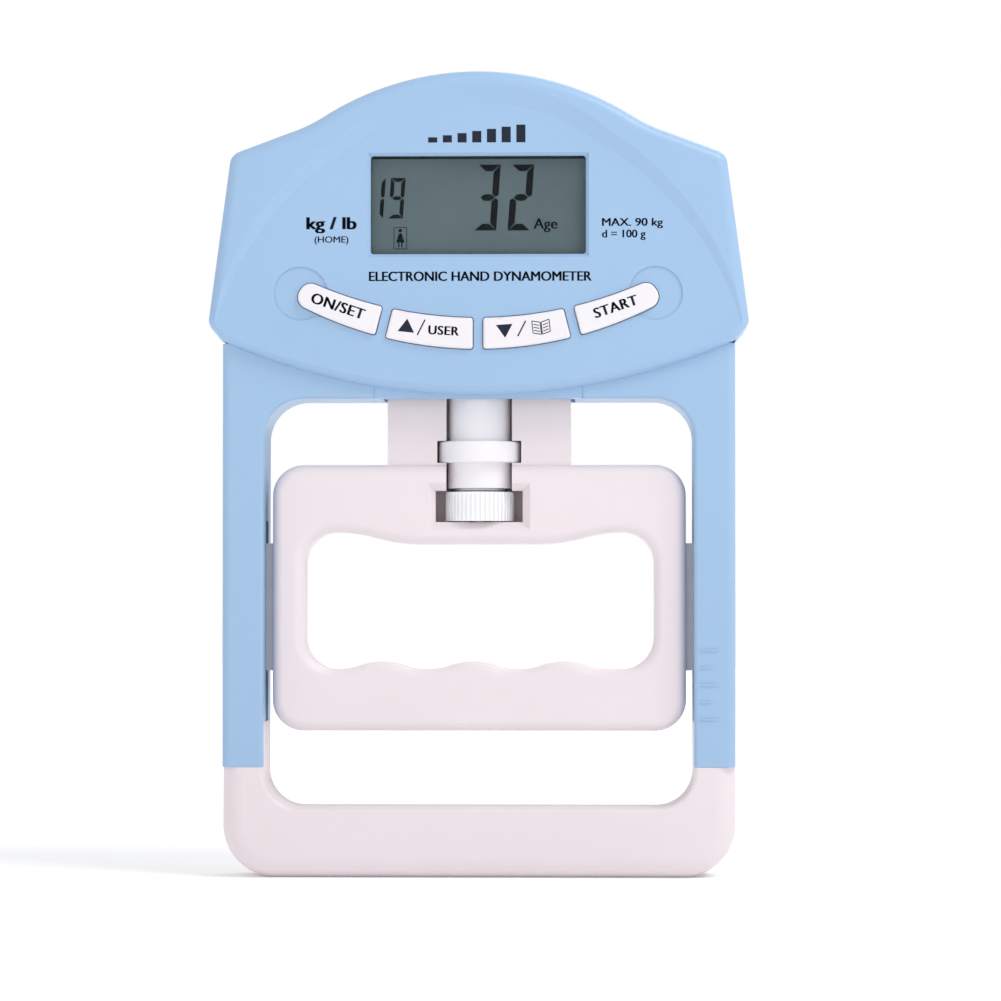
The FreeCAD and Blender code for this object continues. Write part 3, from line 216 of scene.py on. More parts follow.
# knurled acetal: the same, bleached almost white, so the ridges read by their shadows alone
wheelAcetal = mouldedPlastic("knurledAcetal", {
    "light": "#FCFCFD", "deep": "#F0F0F2", "cloudMm": 6, "grainMm": 0.4, "grainDeepMm": 0.01,
    "grain": 0.08, "glossy": 0.26, "dull": 0.34, "ior": 1.48, "glow": 0.08})
# polished ABS: the gloss of a mirror-finished mould, on the key caps
capAbs = mouldedPlastic("polishedCapAbs", {
    "light": "#E9E6EB", "deep": "#E3E0E6", "cloudMm": 8, "grainMm": 0.6, "grainDeepMm": 0.005,
    "grain": 0.05, "glossy": 0.16, "dull": 0.24, "coat": 0.2})
# moulded nylon: grey, dry and a little dull where it rubs
runnerNylon = mouldedPlastic("mouldedGreyNylon", {
    "light": "#DDDBE3", "deep": "#D3D0DA", "cloudMm": 4, "grainMm": 0.3, "grainDeepMm": 0.02,
    "grain": 0.2, "glossy": 0.42, "dull": 0.55})
# poured epoxy: black and wet-looking
blackResin = mouldedPlastic("blackEpoxyResin", {
    "light": "#15161A", "deep": "#0D0E10", "cloudMm": 3, "grainMm": 0.5, "grainDeepMm": 0.02,
    "grain": 0.2, "glossy": 0.12, "dull": 0.25})
# silicone rubber: chalky red-brown with no highlight
contactRubber = mouldedPlastic("contactRubber", {
    "light": "#B9695C", "deep": "#A85A4E", "cloudMm": 1.5, "grainMm": 0.25, "grainDeepMm": 0.02,
    "grain": 0.3, "glossy": 0.6, "dull": 0.75})


inkLook = {"patchMm": 0.8, "detail": 4.0, "roughness": 0.5}


def inkOrPaintedShadeMaterial(name, deep, thin, shine):
    # pad-printed ink: nearly black, thinner in places where the pad let go; the same near-black also makes a
    # painted shadow strip on the display
    material, tree, shader, coordinates = newMaterial(name)
    patches = addNode(tree, "ShaderNodeTexNoise",
                      {"Scale": 1 / (inkLook["patchMm"] * mm), "Detail": inkLook["detail"]},
                      {"Vector": (coordinates, "Object")})
    shade = addNode(tree, "ShaderNodeMix", {"data_type": "RGBA", mixFirst: linear(deep),
                                            mixSecond: linear(thin)}, {mixShare: (patches, "Fac")})
    tree.links.new(shade.outputs[mixResult], shader.inputs["Base Color"])
    shader.inputs["Roughness"].default_value = inkLook["roughness"]
    shader.inputs["Specular IOR Level"].default_value = shine
    return material


# the inks and the painted shadow differ in shine: on plastic the ink glints, under the display's film neither
# can
printBlack = inkOrPaintedShadeMaterial("padPrintBlack", "#0C1424", "#1B2538", 0.25)
segmentBlack = inkOrPaintedShadeMaterial("displaySegmentInk", "#05090C", "#0B1115", 0.03)
# painted shadow: a near-black strip for the shade at the top of the display, under the window's lip
paintedShadowDark = inkOrPaintedShadeMaterial("displayPaintedShadowMaterial", "#1C2629", "#232E32", 0.05)

polariserLook = {"mottle": ("#46545B", "#55636A"), "mottleMm": 0.6, "mottleDetail": 5.0, "mottleRough": 0.7,
                 "drift": "#5B6B6C", "driftMm": 22, "driftDetail": 1.0, "roughness": 0.55, "shine": 0.15}


def polariserFilm():
    # reflective display film: grey-green, with the fine mottle of its rear reflector
    material, tree, shader, coordinates = newMaterial("polariserFilm")
    look = polariserLook
    mottle = addNode(tree, "ShaderNodeTexNoise",
                     {"Scale": 1 / (look["mottleMm"] * mm), "Detail": look["mottleDetail"],
                      "Roughness": look["mottleRough"]}, {"Vector": (coordinates, "Object")})
    drift = addNode(tree, "ShaderNodeTexNoise",
                    {"Scale": 1 / (look["driftMm"] * mm), "Detail": look["driftDetail"]},
                    {"Vector": (coordinates, "Object")})
    fine = addNode(tree, "ShaderNodeMix", {"data_type": "RGBA", mixFirst: linear(look["mottle"][0]),
                                           mixSecond: linear(look["mottle"][1])}, {mixShare: (mottle, "Fac")})
    broad = addNode(tree, "ShaderNodeMix", {"data_type": "RGBA", mixSecond: linear(look["drift"])},
                    {mixShare: (drift, "Fac"), mixFirst: (fine, mixResult)})
    tree.links.new(broad.outputs[mixResult], shader.inputs["Base Color"])
    shader.inputs["Roughness"].default_value = look["roughness"]
    shader.inputs["Specular IOR Level"].default_value = look["shine"]
    return material


paneLook = {"tint": "#DDE4E8", "alpha": 0.006, "smudgeMm": 9, "smudgeDetail": 2.0, "glossy": 0.03,
            "dull": 0.10, "shine": 0.12, "ior": 1.49}


def clearAcrylic():
    # clear acrylic pane: nearly invisible, a soft reflection and the faintest grey
    material, tree, shader, coordinates = newMaterial("clearAcrylic")
    smudge = addNode(tree, "ShaderNodeTexNoise",
                     {"Scale": 1 / (paneLook["smudgeMm"] * mm), "Detail": paneLook["smudgeDetail"]},
                     {"Vector": (coordinates, "Object")})
    gloss = addNode(tree, "ShaderNodeMapRange", {"To Min": paneLook["glossy"], "To Max": paneLook["dull"]},
                    {"Value": (smudge, "Fac")})
    tree.links.new(gloss.outputs["Result"], shader.inputs["Roughness"])
    shader.inputs["Base Color"].default_value = linear(paneLook["tint"])
    shader.inputs["Alpha"].default_value = paneLook["alpha"]
    shader.inputs["Specular IOR Level"].default_value = paneLook["shine"]
    shader.inputs["IOR"].default_value = paneLook["ior"]
    material.surface_render_method = "BLENDED"
    return material


metalLook = {"detail": 4.0, "bump": 0.15, "bumpMm": 0.01}


def workedMetal(name, look):
    # bare or plated metal: fine machining lines along one axis and a slightly cloudy gloss
    material, tree, shader, coordinates = newMaterial(name)
    stretch = addNode(tree, "ShaderNodeMapping", {"Scale": look["stretch"]},
                      {"Vector": (coordinates, "Object")})
    lines = addNode(tree, "ShaderNodeTexNoise",
                    {"Scale": 1 / (look["lineMm"] * mm), "Detail": metalLook["detail"]},
                    {"Vector": (stretch, "Vector")})
    shade = addNode(tree, "ShaderNodeMix", {"data_type": "RGBA", mixFirst: linear(look["light"]),
                                            mixSecond: linear(look["deep"])}, {mixShare: (lines, "Fac")})
    tree.links.new(shade.outputs[mixResult], shader.inputs["Base Color"])
    gloss = addNode(tree, "ShaderNodeMapRange", {"To Min": look["glossy"], "To Max": look["dull"]},
                    {"Value": (lines, "Fac")})
    tree.links.new(gloss.outputs["Result"], shader.inputs["Roughness"])
    bump = addNode(tree, "ShaderNodeBump",
                   {"Strength": metalLook["bump"], "Distance": metalLook["bumpMm"] * mm},
                   {"Height": (lines, "Fac")})
    tree.links.new(bump.outputs["Normal"], shader.inputs["Normal"])
    shader.inputs["Metallic"].default_value = 1.0
    return material


# zinc-plated steel: a pale grey with a soft, drawn-out glint
zincSteel = workedMetal("zincPlatedSteel", {
    "light": "#C9CBCD", "deep": "#A9ACB0", "lineMm": 0.5, "stretch": (1, 1, 4), "glossy": 0.25, "dull": 0.42})
# milled aluminium: brighter, with cutter lines along the beam
milledAluminium = workedMetal("milledAluminium", {
    "light": "#DCDDDF", "deep": "#C2C4C8", "lineMm": 0.4, "stretch": (0.2, 4, 4), "glossy": 0.28,
    "dull": 0.40})
# nickel plate: the warm, bright metal of battery contacts
nickelPlate = workedMetal("nickelPlate", {
    "light": "#D6D2C8", "deep": "#BDB8AC", "lineMm": 0.5, "stretch": (1, 1, 1), "glossy": 0.18, "dull": 0.30})

boardLook = {"mask": ("#1E6B3A", "#1A6034"), "track": "#2F8A4C", "trackMm": 12, "trackLine": 0.03,
             "roughness": 0.32}


def boardLaminate():
    # glass-epoxy board: green solder mask over a grid of copper tracks that shows as faint paler lines
    material, tree, shader, coordinates = newMaterial("boardLaminate")
    tracks = addNode(tree, "ShaderNodeTexBrick",
                     {"Scale": 1 / (boardLook["trackMm"] * mm), "Mortar Size": boardLook["trackLine"],
                      "Color1": linear(boardLook["mask"][0]), "Color2": linear(boardLook["mask"][1]),
                      "Mortar": linear(boardLook["track"])}, {"Vector": (coordinates, "Object")})
    tree.links.new(tracks.outputs["Color"], shader.inputs["Base Color"])
    shader.inputs["Roughness"].default_value = boardLook["roughness"]
    return material


stripeLook = {"distortion": 0.2, "roughness": 0.3}


def printedFilm(name, first, second, lineMm):
    # printed film or jacket: glossy, with stripes of a second colour
    material, tree, shader, coordinates = newMaterial(name)
    stripes = addNode(tree, "ShaderNodeTexWave",
                      {"Scale": 1 / (lineMm * mm * math.tau), "Distortion": stripeLook["distortion"]},
                      {"Vector": (coordinates, "Object")})
    shade = addNode(tree, "ShaderNodeMix", {"data_type": "RGBA", mixFirst: linear(first),
                                            mixSecond: linear(second)}, {mixShare: (stripes, "Fac")})
    tree.links.new(shade.outputs[mixResult], shader.inputs["Base Color"])
    shader.inputs["Roughness"].default_value = stripeLook["roughness"]
    return material


film = polariserFilm()
acrylic = clearAcrylic()
laminate = boardLaminate()
gaugeFilm = printedFilm("gaugeFilm", "#C98A2B", "#A86A1C", 0.6)
cellJacket = printedFilm("cellJacket", "#20355E", "#2B4474", 12)
print("materials ready")

# CAD nodes keep their shape and get their finish
finishes = {
    "front_cover": blueAbs, "rear_cover": blueAbs, "battery_door": blueAbs, "frame_front": blueAbs,
    "frame_rear": blueAbs, "palm_bar_front": whiteAbs, "palm_bar_rear": whiteAbs, "handle_front": whiteAbs,
    "handle_rear": whiteAbs, "guide_sleeve": sleeveAcetal, "thumbwheel": wheelAcetal,
    "runner_left": runnerNylon, "runner_right": runnerNylon, "lcd_window": acrylic, "lcd_panel": film,
    "main_board": laminate, "chip_cover": blackResin, "contact_strips": contactRubber,
    "switch_bodies": zincSteel, "shell_screws": zincSteel, "arm_screws": zincSteel,
    "palm_screws": zincSteel, "handle_screws": zincSteel, "bracket_screws": zincSteel,
    "adjusting_screw": zincSteel, "pull_link": zincSteel, "link_nut": zincSteel,
    "load_cell_bracket": zincSteel, "thrust_washer": zincSteel, "load_cell": milledAluminium,
    "strain_gauges": gaugeFilm, "battery_tray": blueAbs, "battery_contacts": nickelPlate,
    "battery_springs": nickelPlate, "battery_cells": cellJacket,
}
for keyName in ("on_set", "user", "memory", "start"):
    finishes["button_" + keyName] = capAbs
    finishes["switch_plunger_" + keyName] = blackResin
for nodeName, material in finishes.items():
    if not nodes[nodeName].data.materials:
        nodes[nodeName].data.materials.append(material)
    for slot in nodes[nodeName].material_slots:
        slot.material = material
print("CAD nodes finished")

# knurled thumbwheel
wheelLook = {"ridges": 46, "ridgeDeep": 0.42 * mm, "rim": 1.36 * mm, "dishWall": 0.3 * mm,
             "dishDeep": 0.35 * mm, "endLeast": 3 * mm, "edge": 0.12 * mm, "corner": 40}


def buildThumbwheel():
    low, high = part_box("thumbwheel")
    middle = (low + high) / 2
    bpy.ops.mesh.primitive_cylinder_add(
        vertices=wheelLook["ridges"] * 2, radius=(high.x - low.x) / 2 - wheelLook["ridgeDeep"],
        depth=high.z - low.z, location=middle)
    wheel = bpy.context.object
    settle(wheel)
    # every other side face grows outwards into a ridge
    faces = wheel.data.polygons
    sides = [face.index for face in faces if abs(face.normal.z) < 0.1]
    sides.sort(key=lambda index: math.atan2(faces[index].center.y, faces[index].center.x))
    ridgeFaces = set(sides[::2])
    pickFaces(wheel, lambda face: face.index in ridgeFaces)
    bpy.ops.mesh.extrude_faces_move(TRANSFORM_OT_shrink_fatten={"value": wheelLook["ridgeDeep"]})
    # a second ring on each ridge's top edges keeps the bevel off them, and is cleaned away after it
    bpy.ops.mesh.inset(thickness=0.0, depth=0.0, use_individual=True)
    leaveEdit()
    # both end faces are dished inside their rim
    for end in (-1, 1):
        pickFaces(wheel, lambda face: face.normal.z * end > 0.9 and face.area > wheelLook["endLeast"] ** 2)
        bpy.ops.mesh.inset(thickness=wheelLook["rim"], depth=0)
        bpy.ops.mesh.inset(thickness=wheelLook["dishWall"], depth=-wheelLook["dishDeep"])
        leaveEdit()
    roundEdges(wheel, wheelLook["edge"], 2, wheelLook["corner"])
    weld(wheel, weldTiny)
    bpy.ops.mesh.dissolve_degenerate(threshold=weldTiny)
    leaveEdit()
    smooth(wheel, wheelLook["corner"])
    wheel.name = "knurledThumbwheel"
    return dress(wheel, wheelAcetal, "wheel", ("thumbwheel",))


buildThumbwheel()
print("thumbwheel knurled")

# screws: one pan head with a cross recess, copied to each place and given a plain shank
screwLook = {"radius": 2.5 * mm, "thick": 1.5 * mm, "headSides": 32, "land": 0.55 * mm, "headEdge": 0.25 * mm,
             "recessLong": 2.875 * mm, "recessWide": 0.672 * mm, "recessDeep": 0.7 * mm, "recessTurn": 20,
             "shank": 1.3 * mm, "shankSides": 20, "shankEdge": 0.3 * mm, "corner": 50, "smooth": 30}
screwSets = {
    "shell_screws": ("frame", "headScrews"), "arm_screws": ("frame", "armScrews"),
    "palm_screws": ("frame", "palmScrews"), "handle_screws": ("handle", "handleScrews"),
}


def buildScrewHead():
    # made standing up, then turned to face +Y, with its flat underside at the origin
    look = screwLook
    bpy.ops.mesh.primitive_cylinder_add(vertices=look["headSides"], radius=look["radius"],
                                        depth=look["thick"], location=(0, 0, look["thick"] / 2))
    head = bpy.context.object
    settle(head)
    pickFaces(head, lambda face: face.normal.z > 0.9)
    bpy.ops.mesh.inset(thickness=look["land"], depth=0)
    leaveEdit()
    roundEdges(head, look["headEdge"], 3, look["corner"])
    arms = []
    for turn in (0, 90):
        bpy.ops.mesh.primitive_cube_add(size=1, location=(0, 0, look["thick"]))
        arm = bpy.context.object
        arm.scale = (look["recessLong"], look["recessWide"], look["recessDeep"] * 2)
        arm.rotation_euler = (0, 0, math.radians(turn + look["recessTurn"]))
        settle(arm)
        arms.append(arm)
    for arm in arms:
        applyModifier(head, "BOOLEAN", object=arm, operation="DIFFERENCE", solver="EXACT")
        bpy.data.objects.remove(arm)
    smooth(head, look["smooth"])
    head.rotation_euler = (math.radians(-90), 0, 0)
    settle(head)
    return head


def buildShank(x, front, back, z):
    bpy.ops.mesh.primitive_cylinder_add(vertices=screwLook["shankSides"], radius=screwLook["shank"],
                                        depth=back - front, location=(x, (back + front) / 2, z),
                                        rotation=(math.radians(90), 0, 0))
    shank = bpy.context.object
    settle(shank)
    roundEdges(shank, screwLook["shankEdge"], 2, screwLook["corner"])
    smooth(shank, screwLook["smooth"])
    return shank


def looseParts(piece):
    # for each loose part of a CAD node: the middle's x and z, and the lowest and highest y
    twin = copyOf(piece)
    twin.parent = None
    weld(twin, weldNear)
    bpy.ops.mesh.separate(type="LOOSE")
    leaveEdit()
    found = []
    for part in list(bpy.context.selected_objects):
        xs, ys, zs = zip(*(vertex.co for vertex in part.data.vertices))
        found.append(((min(xs) + max(xs)) / 2, min(ys), max(ys), (min(zs) + max(zs)) / 2))
        bpy.data.objects.remove(part)
    return found


def buildScrews():
    master = buildScrewHead()
    for setName, (body, pieceName) in screwSets.items():
        made = []
        for x, front, back, z in looseParts(nodes[setName]):
            under = back - screwLook["thick"]
            head = copyOf(master)
            head.location = (x, under, z)
            settle(head)
            made += [head, buildShank(x, front, under, z)]
        dress(joinAll(made, pieceName), zincSteel, body, (setName,))
    bpy.data.objects.remove(master)


buildScrews()
print("screws made")

# printing on the panel, the caps and the display: flat outlines with the thickness of ink
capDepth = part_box("button_user")[0].y
panelDepth = capDepth + 1.0 * mm
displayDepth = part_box("lcd_panel")[0].y
inkLift = 0.01 * mm  # an outline floats this far in front of its face
filmLift = 0.015 * mm
sheetThick = 0.012 * mm
capitalShare = 0.71  # a capital's height as a share of the font's size


def flatText(look, depth, turn=0.0, spacing=1.0):
    # words in the XZ plane, facing the front; height is a capital's height
    bpy.ops.object.text_add(location=(0, 0, 0))
    label = bpy.context.object
    label.data.body = look["words"]
    label.data.size = look["height"] / capitalShare
    label.data.align_x = "CENTER"
    label.data.align_y = "CENTER"
    label.data.space_character = spacing
    label.data.resolution_u = 4
    makeActive(label)
    bpy.ops.object.convert(target="MESH")
    label = bpy.context.object
    # heavier strokes come from copies set a hair to each side
    twins = []
    for side in (-1, 1):
        twin = copyOf(label)
        twin.location = (side * look["heavy"] * look["height"], 0, 0)
        settle(twin)
        twins.append(twin)
    label = joinAll([label] + twins, "label")
    label.rotation_euler = (math.radians(90), 0, 0)
    settle(label)
    label.rotation_euler = (0, math.radians(-turn), 0)
    label.location = (look["x"], depth, look["z"])
    settle(label)
    return label


def flatShape(points, depth):
    # a disc with one corner for each point, its corners then put in the XZ plane, facing the front
    bpy.ops.mesh.primitive_circle_add(vertices=len(points), radius=1 * mm, fill_type="NGON")
    shape = bpy.context.object
    for corner, (x, z) in zip(shape.data.vertices, points):
        corner.co = (x, depth, z)
    shape.data.update()
    if shape.data.polygons[0].normal.y > 0:
        shape.data.flip_normals()
    return shape


def oblong(left, low, right, high):
    return [(left, low), (right, low), (right, high), (left, high)]


def turned(points, middle, degrees):
    cos, sin = math.cos(math.radians(degrees)), math.sin(math.radians(degrees))
    return [(middle[0] + x * cos - z * sin, middle[1] + x * sin + z * cos) for x, z in points]


def printOrShadeSheet(outlines, name, ink, body):
    # gives the outlines the thickness of ink, so each is a closed solid, and makes them one piece; the
    # display's painted shadow strip is made the same way
    for outline in outlines:
        weld(outline, weldTiny)
        leaveEdit()
        applyModifier(outline, "SOLIDIFY", thickness=sheetThick, offset=1.0)
    return dress(joinAll(outlines, name), ink, body)


panelWords = (
    {"words": "ELECTRONIC HAND DYNAMOMETER", "x": 0.5 * mm, "z": 138.8 * mm, "height": 2.25 * mm,
     "width": 51.5 * mm, "heavy": 0.05},
    {"words": "MAX. 90 kg", "x": 35.65 * mm, "z": 151.3 * mm, "height": 1.85 * mm, "width": 14.1 * mm,
     "heavy": 0.04},
    {"words": "d = 100 g", "x": 33.65 * mm, "z": 148.6 * mm, "height": 1.85 * mm, "width": 10.1 * mm,
     "heavy": 0.04},
    {"words": "kg / lb", "x": -33.9 * mm, "z": 151.1 * mm, "height": 2.9 * mm, "width": 11.7 * mm,
     "heavy": 0.06},
    {"words": "(HOME)", "x": -33.9 * mm, "z": 147.4 * mm, "height": 1.5 * mm, "width": 7.9 * mm,
     "heavy": 0.025},
)
barsLook = {"x": -0.3 * mm, "z": 169.9 * mm, "count": 7, "step": 3.4 * mm, "wide": 2.1 * mm,
            "first": 1.2 * mm, "last": 4.1 * mm}


def fitWidth(piece, x, width):
    # stretches flat words to the width that the line takes
    xs = [vertex.co.x for vertex in piece.data.vertices]
    scale = width / (max(xs) - min(xs))
    piece.scale = (scale, 1, 1)
    piece.location = (x - (min(xs) + max(xs)) / 2 * scale, 0, 0)
    settle(piece)
    return piece


def buildPanelPrint():
    depth = panelDepth - inkLift
    made = []
    for look in panelWords:
        made.append(fitWidth(flatText({**look, "x": 0}, depth), look["x"], look["width"]))
    # rising bars
    bars = barsLook
    half, rise = bars["wide"] / 2, (bars["last"] - bars["first"]) / (bars["count"] - 1)
    for number in range(bars["count"]):
        x = bars["x"] + (number - (bars["count"] - 1) / 2) * bars["step"]
        top = bars["z"] + bars["first"] + number * rise
        made.append(flatShape(oblong(x - half, bars["z"], x + half, top), depth))
    return printOrShadeSheet(made, "panelPrint", printBlack, "frame")


buildPanelPrint()

capWords = {
    "on_set": {"words": "ON/SET", "x": -32.4 * mm, "z": 131.9 * mm, "turn": -18.5, "height": 2.5 * mm},
    "start": {"words": "START", "x": 31.75 * mm, "z": 131.65 * mm, "turn": 18.5, "height": 2.4 * mm},
    "user": {"words": "USER", "x": -8.0 * mm, "z": 126.2 * mm, "turn": -3.0, "height": 2.1 * mm},
}
capLetters = {"heavy": 0.055, "spacing": 1.08}
slashLook = {"half": 0.16 * mm, "tall": 4.0 * mm, "turn": -27,
             "user": (-13.1 * mm, 127.05 * mm), "memory": (10.1 * mm, 126.75 * mm)}
arrowLook = {"half": 1.9 * mm, "foot": 1.2 * mm, "tip": 1.9 * mm,
             "up": (-16.5 * mm, 127.2 * mm), "upTurn": -6, "down": (6.15 * mm, 126.5 * mm), "downTurn": 4}
bookLook = {"place": (14.6 * mm, 126.9 * mm), "turn": 6, "line": 0.1 * mm, "spine": 0.12 * mm,
            "edge": 2.0 * mm, "low": -1.5 * mm, "high": 1.3 * mm, "lift": 0.5 * mm, "rows": 3,
            "rowIn": 0.3 * mm, "rowLift": 0.4 * mm}


def capLabel(keyName):
    look = {**capWords[keyName], "heavy": capLetters["heavy"]}
    return flatText(look, capDepth - inkLift, look["turn"], capLetters["spacing"])


def capShape(points, place, turn):
    return flatShape(turned(points, place, turn), capDepth - inkLift)


def slash(keyName):
    half, tall = slashLook["half"], slashLook["tall"] / 2
    return capShape(oblong(-half, -tall, half, tall), slashLook[keyName], slashLook["turn"])


def openBook():
    # two pages with ruled lines, drawn as thin strokes
    look = bookLook
    spine, edge, low, high = look["spine"], look["edge"], look["low"], look["high"]
    page = [((spine, low), (edge, low + look["lift"])), ((spine, high), (edge, high + look["lift"])),
            ((edge, low + look["lift"]), (edge, high + look["lift"])), ((spine, low), (spine, high))]
    for row in range(1, look["rows"] + 1):
        level = low + row * (high - low) / (look["rows"] + 1)
        page.append(((spine + look["rowIn"], level), (edge - look["rowIn"], level + look["rowLift"])))
    strokes = []
    for side in (-1, 1):
        for (x0, z0), (x1, z1) in page:
            across = Vector((z0 - z1, x1 - x0)).normalized() * look["line"]
            corners = [(x0 + across.x, z0 + across.y), (x0 - across.x, z0 - across.y),
                       (x1 - across.x, z1 - across.y), (x1 + across.x, z1 + across.y)]
            strokes.append(capShape([(x * side, z) for x, z in corners], look["place"], look["turn"]))
    return strokes


def buildCapPrint():
    up = [(-arrowLook["half"], -arrowLook["foot"]), (arrowLook["half"], -arrowLook["foot"]),
          (0, arrowLook["tip"])]
    down = [(-x, -z) for x, z in up]
    rows = {
        "on_set": [capLabel("on_set")],
        "start": [capLabel("start")],
        "user": [capLabel("user"), slash("user"), capShape(up, arrowLook["up"], arrowLook["upTurn"])],
        "memory": [slash("memory"), *openBook(),
                   capShape(down, arrowLook["down"], arrowLook["downTurn"])],
    }
    for keyName, made in rows.items():
        printOrShadeSheet(made, "capPrint_" + keyName, printBlack, "key_" + keyName)


buildCapPrint()
print("printing done")

# lit display segments
largeDigit = {"z": 157.4 * mm, "wide": 5.3 * mm, "tall": 15.5 * mm, "stroke": 1.75 * mm}
smallDigit = {"z": 157.3 * mm, "wide": 3.6 * mm, "tall": 9.6 * mm, "stroke": 1.1 * mm}
digitLooks = (
    {"digit": "3", "x": 2.1 * mm, **largeDigit}, {"digit": "2", "x": 9.85 * mm, **largeDigit},
    {"digit": "1", "x": -23.5 * mm, **smallDigit}, {"digit": "9", "x": -18.9 * mm, **smallDigit},
)
litSegments = {"1": "bc", "2": "abged", "3": "abgcd", "9": "abcdfg"}
segmentLook = {"lean": 0.07, "gap": 0.2 * mm, "tipShare": 0.3}
ageLook = {"words": "Age", "x": 15.6 * mm, "z": 151.2 * mm, "height": 2.5 * mm, "heavy": 0.03}
figureLook = {"x": -18.1 * mm, "z": 148.0 * mm, "frame": (1.4 * mm, 2.4 * mm), "frameLine": 0.15 * mm,
              "legOut": 0.35 * mm, "legHalf": 0.15 * mm, "foot": 2.1 * mm, "hem": 1.0 * mm,
              "hemHalf": 1.0 * mm, "shoulder": 1.1 * mm, "shoulderHalf": 0.3 * mm, "headUp": 1.75 * mm,
              "head": 0.42 * mm, "headSides": 16}
# painted shadow: a dark strip along the top of the display, standing for the shade cast by the window's lip,
# most of it behind that lip
paintedShadowLook = {"half": 25.6 * mm, "low": 166.35 * mm, "high": 168.2 * mm}


def segmentCorners(name, look):
    # the seven bars of a digit, a to g clockwise from the top, and g across the middle
    w, t, s = look["wide"] / 2, look["tall"] / 2, look["stroke"]
    half, tip = s / 2, s * segmentLook["tipShare"]
    corners = {
        "a": [(-w, t), (w, t), (w - s, t - s), (-w + s, t - s)],
        "d": [(-w + s, -t + s), (w - s, -t + s), (w, -t), (-w, -t)],
        "g": [(-w + half, 0), (-w + s, half), (w - s, half), (w - half, 0), (w - s, -half),
              (-w + s, -half)],
        "b": [(w, t), (w, tip), (w - half, 0), (w - s, half), (w - s, t - s)],
        "c": [(w, -t), (w - s, -t + s), (w - s, -half), (w - half, 0), (w, -tip)],
        "f": [(-w, t), (-w + s, t - s), (-w + s, half), (-w + half, 0), (-w, tip)],
        "e": [(-w, -t), (-w, -tip), (-w + half, 0), (-w + s, -half), (-w + s, -t + s)],
    }[name]
    # each bar shrinks towards its middle, which leaves the gap between two bars
    middle = [sum(values) / len(corners) for values in zip(*corners)]
    shrunk = []
    for corner in corners:
        steps = [value - centre for value, centre in zip(corner, middle)]
        shrunk.append([centre + step - math.copysign(min(segmentLook["gap"], abs(step)), step) / 2
                       for centre, step in zip(middle, steps)])
    return [(look["x"] + x + z * segmentLook["lean"], look["z"] + z) for x, z in shrunk]


def standingFigure():
    # outlines of a figure in a thin frame: frame sides, legs, round head, flared body
    look = figureLook
    x, z = look["x"], look["z"]
    halfWide, halfTall = look["frame"]
    line = look["frameLine"]
    outlines = []
    for side in (-1, 1):
        left, right = sorted((x + side * halfWide, x + side * (halfWide + line)))
        outlines.append(oblong(left, z - halfTall - line, right, z + halfTall + line))
        low, high = sorted((z + side * halfTall, z + side * (halfTall + line)))
        outlines.append(oblong(x - halfWide, low, x + halfWide, high))
        leg = x + side * look["legOut"]
        outlines.append(oblong(leg - look["legHalf"], z - look["foot"], leg + look["legHalf"],
                               z - look["hem"]))
    turns = [step * math.tau / look["headSides"] for step in range(look["headSides"])]
    outlines.append([(x + look["head"] * math.cos(turn), z + look["headUp"] + look["head"] * math.sin(turn))
                     for turn in turns])
    outlines.append([(x - look["hemHalf"], z - look["hem"]), (x + look["hemHalf"], z - look["hem"]),
                     (x + look["shoulderHalf"], z + look["shoulder"]),
                     (x - look["shoulderHalf"], z + look["shoulder"])])
    return outlines


def buildDisplay():
    depth = displayDepth - filmLift
    outlines = [segmentCorners(name, look) for look in digitLooks for name in litSegments[look["digit"]]]
    made = [flatShape(outline, depth) for outline in outlines]
    made.append(flatText(ageLook, depth))
    made += [flatShape(outline, depth) for outline in standingFigure()]
    printOrShadeSheet(made, "displaySegments", segmentBlack, "frame")
    # painted shadow: the dark strip at the top of the display stands for the shade under the window's lip
    half, low, high = paintedShadowLook["half"], paintedShadowLook["low"], paintedShadowLook["high"]
    printOrShadeSheet([flatShape(oblong(-half, low, half, high), depth)], "displayPaintedShadowStrip", paintedShadowDark, "frame")


buildDisplay()
print("display lit")

# floor, backdrop, light and camera
stageLook = {"floorSize": 6.0, "paper": ("#F7F7F8", "#FBFBFB"), "toothMm": 2, "toothDetail": 3.0,
             "roughness": 0.9, "world": "#FFFFFF", "worldLight": 0.73, "glow": 0.12, "farGlow": 0.5,
             "fadeStart": 0.15, "fadeEnd": 0.6}
lampLooks = {
    "softKey": {"place": (0.50, -0.40, 0.85), "size": 0.45, "power": 4.0},
    "softFill": {"place": (-0.35, -0.95, 0.35), "size": 0.9, "power": 0.6},
    "backRim": {"place": (0.25, 0.60, 0.75), "size": 0.5, "power": 1.4},
}
lampTarget = (0, 0, 0.1)
cameraLook = {"place": (0.028, -0.925, 0.064), "target": (0.0051, -0.010, 0.0872), "lens": 142.3,
              "sensor": 36.0, "nearest": 0.01}


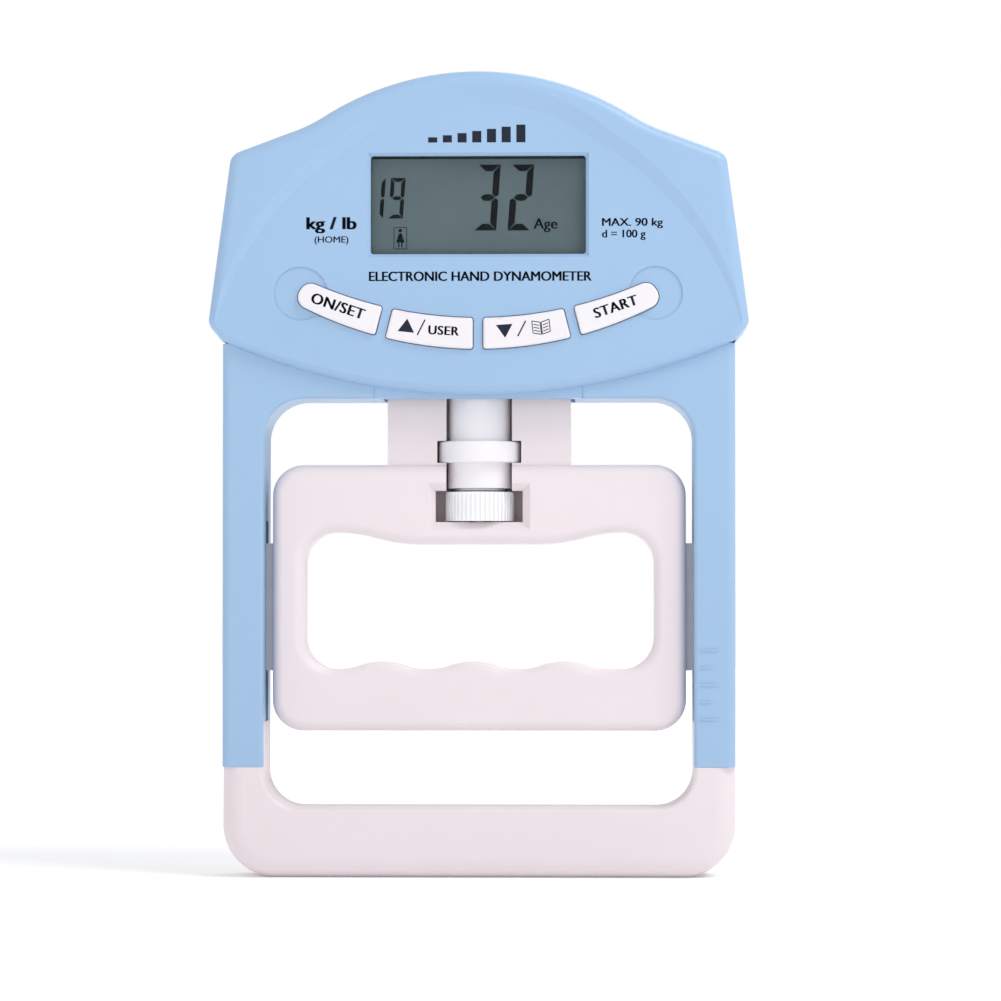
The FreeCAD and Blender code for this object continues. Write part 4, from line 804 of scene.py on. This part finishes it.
def buildFloor():
    # matt paper: a faintly toothed white that takes a soft shadow, with a painted glow on top that lifts the
    # floor and weakens its shadow
    material, tree, shader, coordinates = newMaterial("paperWithPaintedGlow")
    look = stageLook
    tooth = addNode(tree, "ShaderNodeTexNoise",
                    {"Scale": 1 / (look["toothMm"] * mm), "Detail": look["toothDetail"]},
                    {"Vector": (coordinates, "Object")})
    shade = addNode(tree, "ShaderNodeMix", {"data_type": "RGBA", mixFirst: linear(look["paper"][0]),
                                            mixSecond: linear(look["paper"][1])}, {mixShare: (tooth, "Fac")})
    tree.links.new(shade.outputs[mixResult], shader.inputs["Base Color"])
    shader.inputs["Roughness"].default_value = look["roughness"]
    shader.inputs["Emission Color"].default_value = linear(look["world"])
    # painted light: the paper glows, a little near the object and more with distance, so it fades into the
    # backdrop without a line
    length = addNode(tree, "ShaderNodeVectorMath", {"operation": "LENGTH"}, {0: (coordinates, "Object")})
    glow = addNode(tree, "ShaderNodeMapRange",
                   {"From Min": look["fadeStart"], "From Max": look["fadeEnd"],
                    "To Min": look["glow"], "To Max": look["farGlow"]}, {"Value": (length, "Value")})
    tree.links.new(glow.outputs["Result"], shader.inputs["Emission Strength"])
    bpy.ops.mesh.primitive_plane_add(size=look["floorSize"], location=(0, 0, 0))
    floor = bpy.context.object
    floor.name = "paperFloor"
    floor.data.materials.append(material)


def buildBackdrop():
    world = bpy.data.worlds.new("studioWhite")
    world.use_nodes = True
    tree = world.node_tree
    background = tree.nodes["Background"]
    background.inputs["Color"].default_value = linear(stageLook["world"])
    # what the camera sees stays white while the light that reaches the object is softer
    path = addNode(tree, "ShaderNodeLightPath")
    strength = addNode(tree, "ShaderNodeMapRange", {"To Min": stageLook["worldLight"], "To Max": 1.0},
                       {"Value": (path, "Is Camera Ray")})
    tree.links.new(strength.outputs["Result"], background.inputs["Strength"])
    bpy.context.scene.world = world


def aim(thing, target):
    direction = Vector(target) - thing.location
    thing.rotation_euler = direction.to_track_quat("-Z", "Y").to_euler()


def buildLights():
    for name, look in lampLooks.items():
        bpy.ops.object.light_add(type="AREA", location=look["place"])
        lamp = bpy.context.object
        lamp.name = name
        lamp.data.size = look["size"]
        lamp.data.energy = look["power"]
        aim(lamp, lampTarget)


def buildCamera():
    bpy.ops.object.camera_add(location=cameraLook["place"])
    camera = bpy.context.object
    camera.data.lens = cameraLook["lens"]
    camera.data.sensor_width = cameraLook["sensor"]
    camera.data.clip_start = cameraLook["nearest"]
    aim(camera, cameraLook["target"])
    bpy.context.scene.camera = camera
    bpy.context.scene.view_settings.view_transform = "Standard"


buildFloor()
buildBackdrop()
buildLights()
buildCamera()
print("stage, light and camera ready")
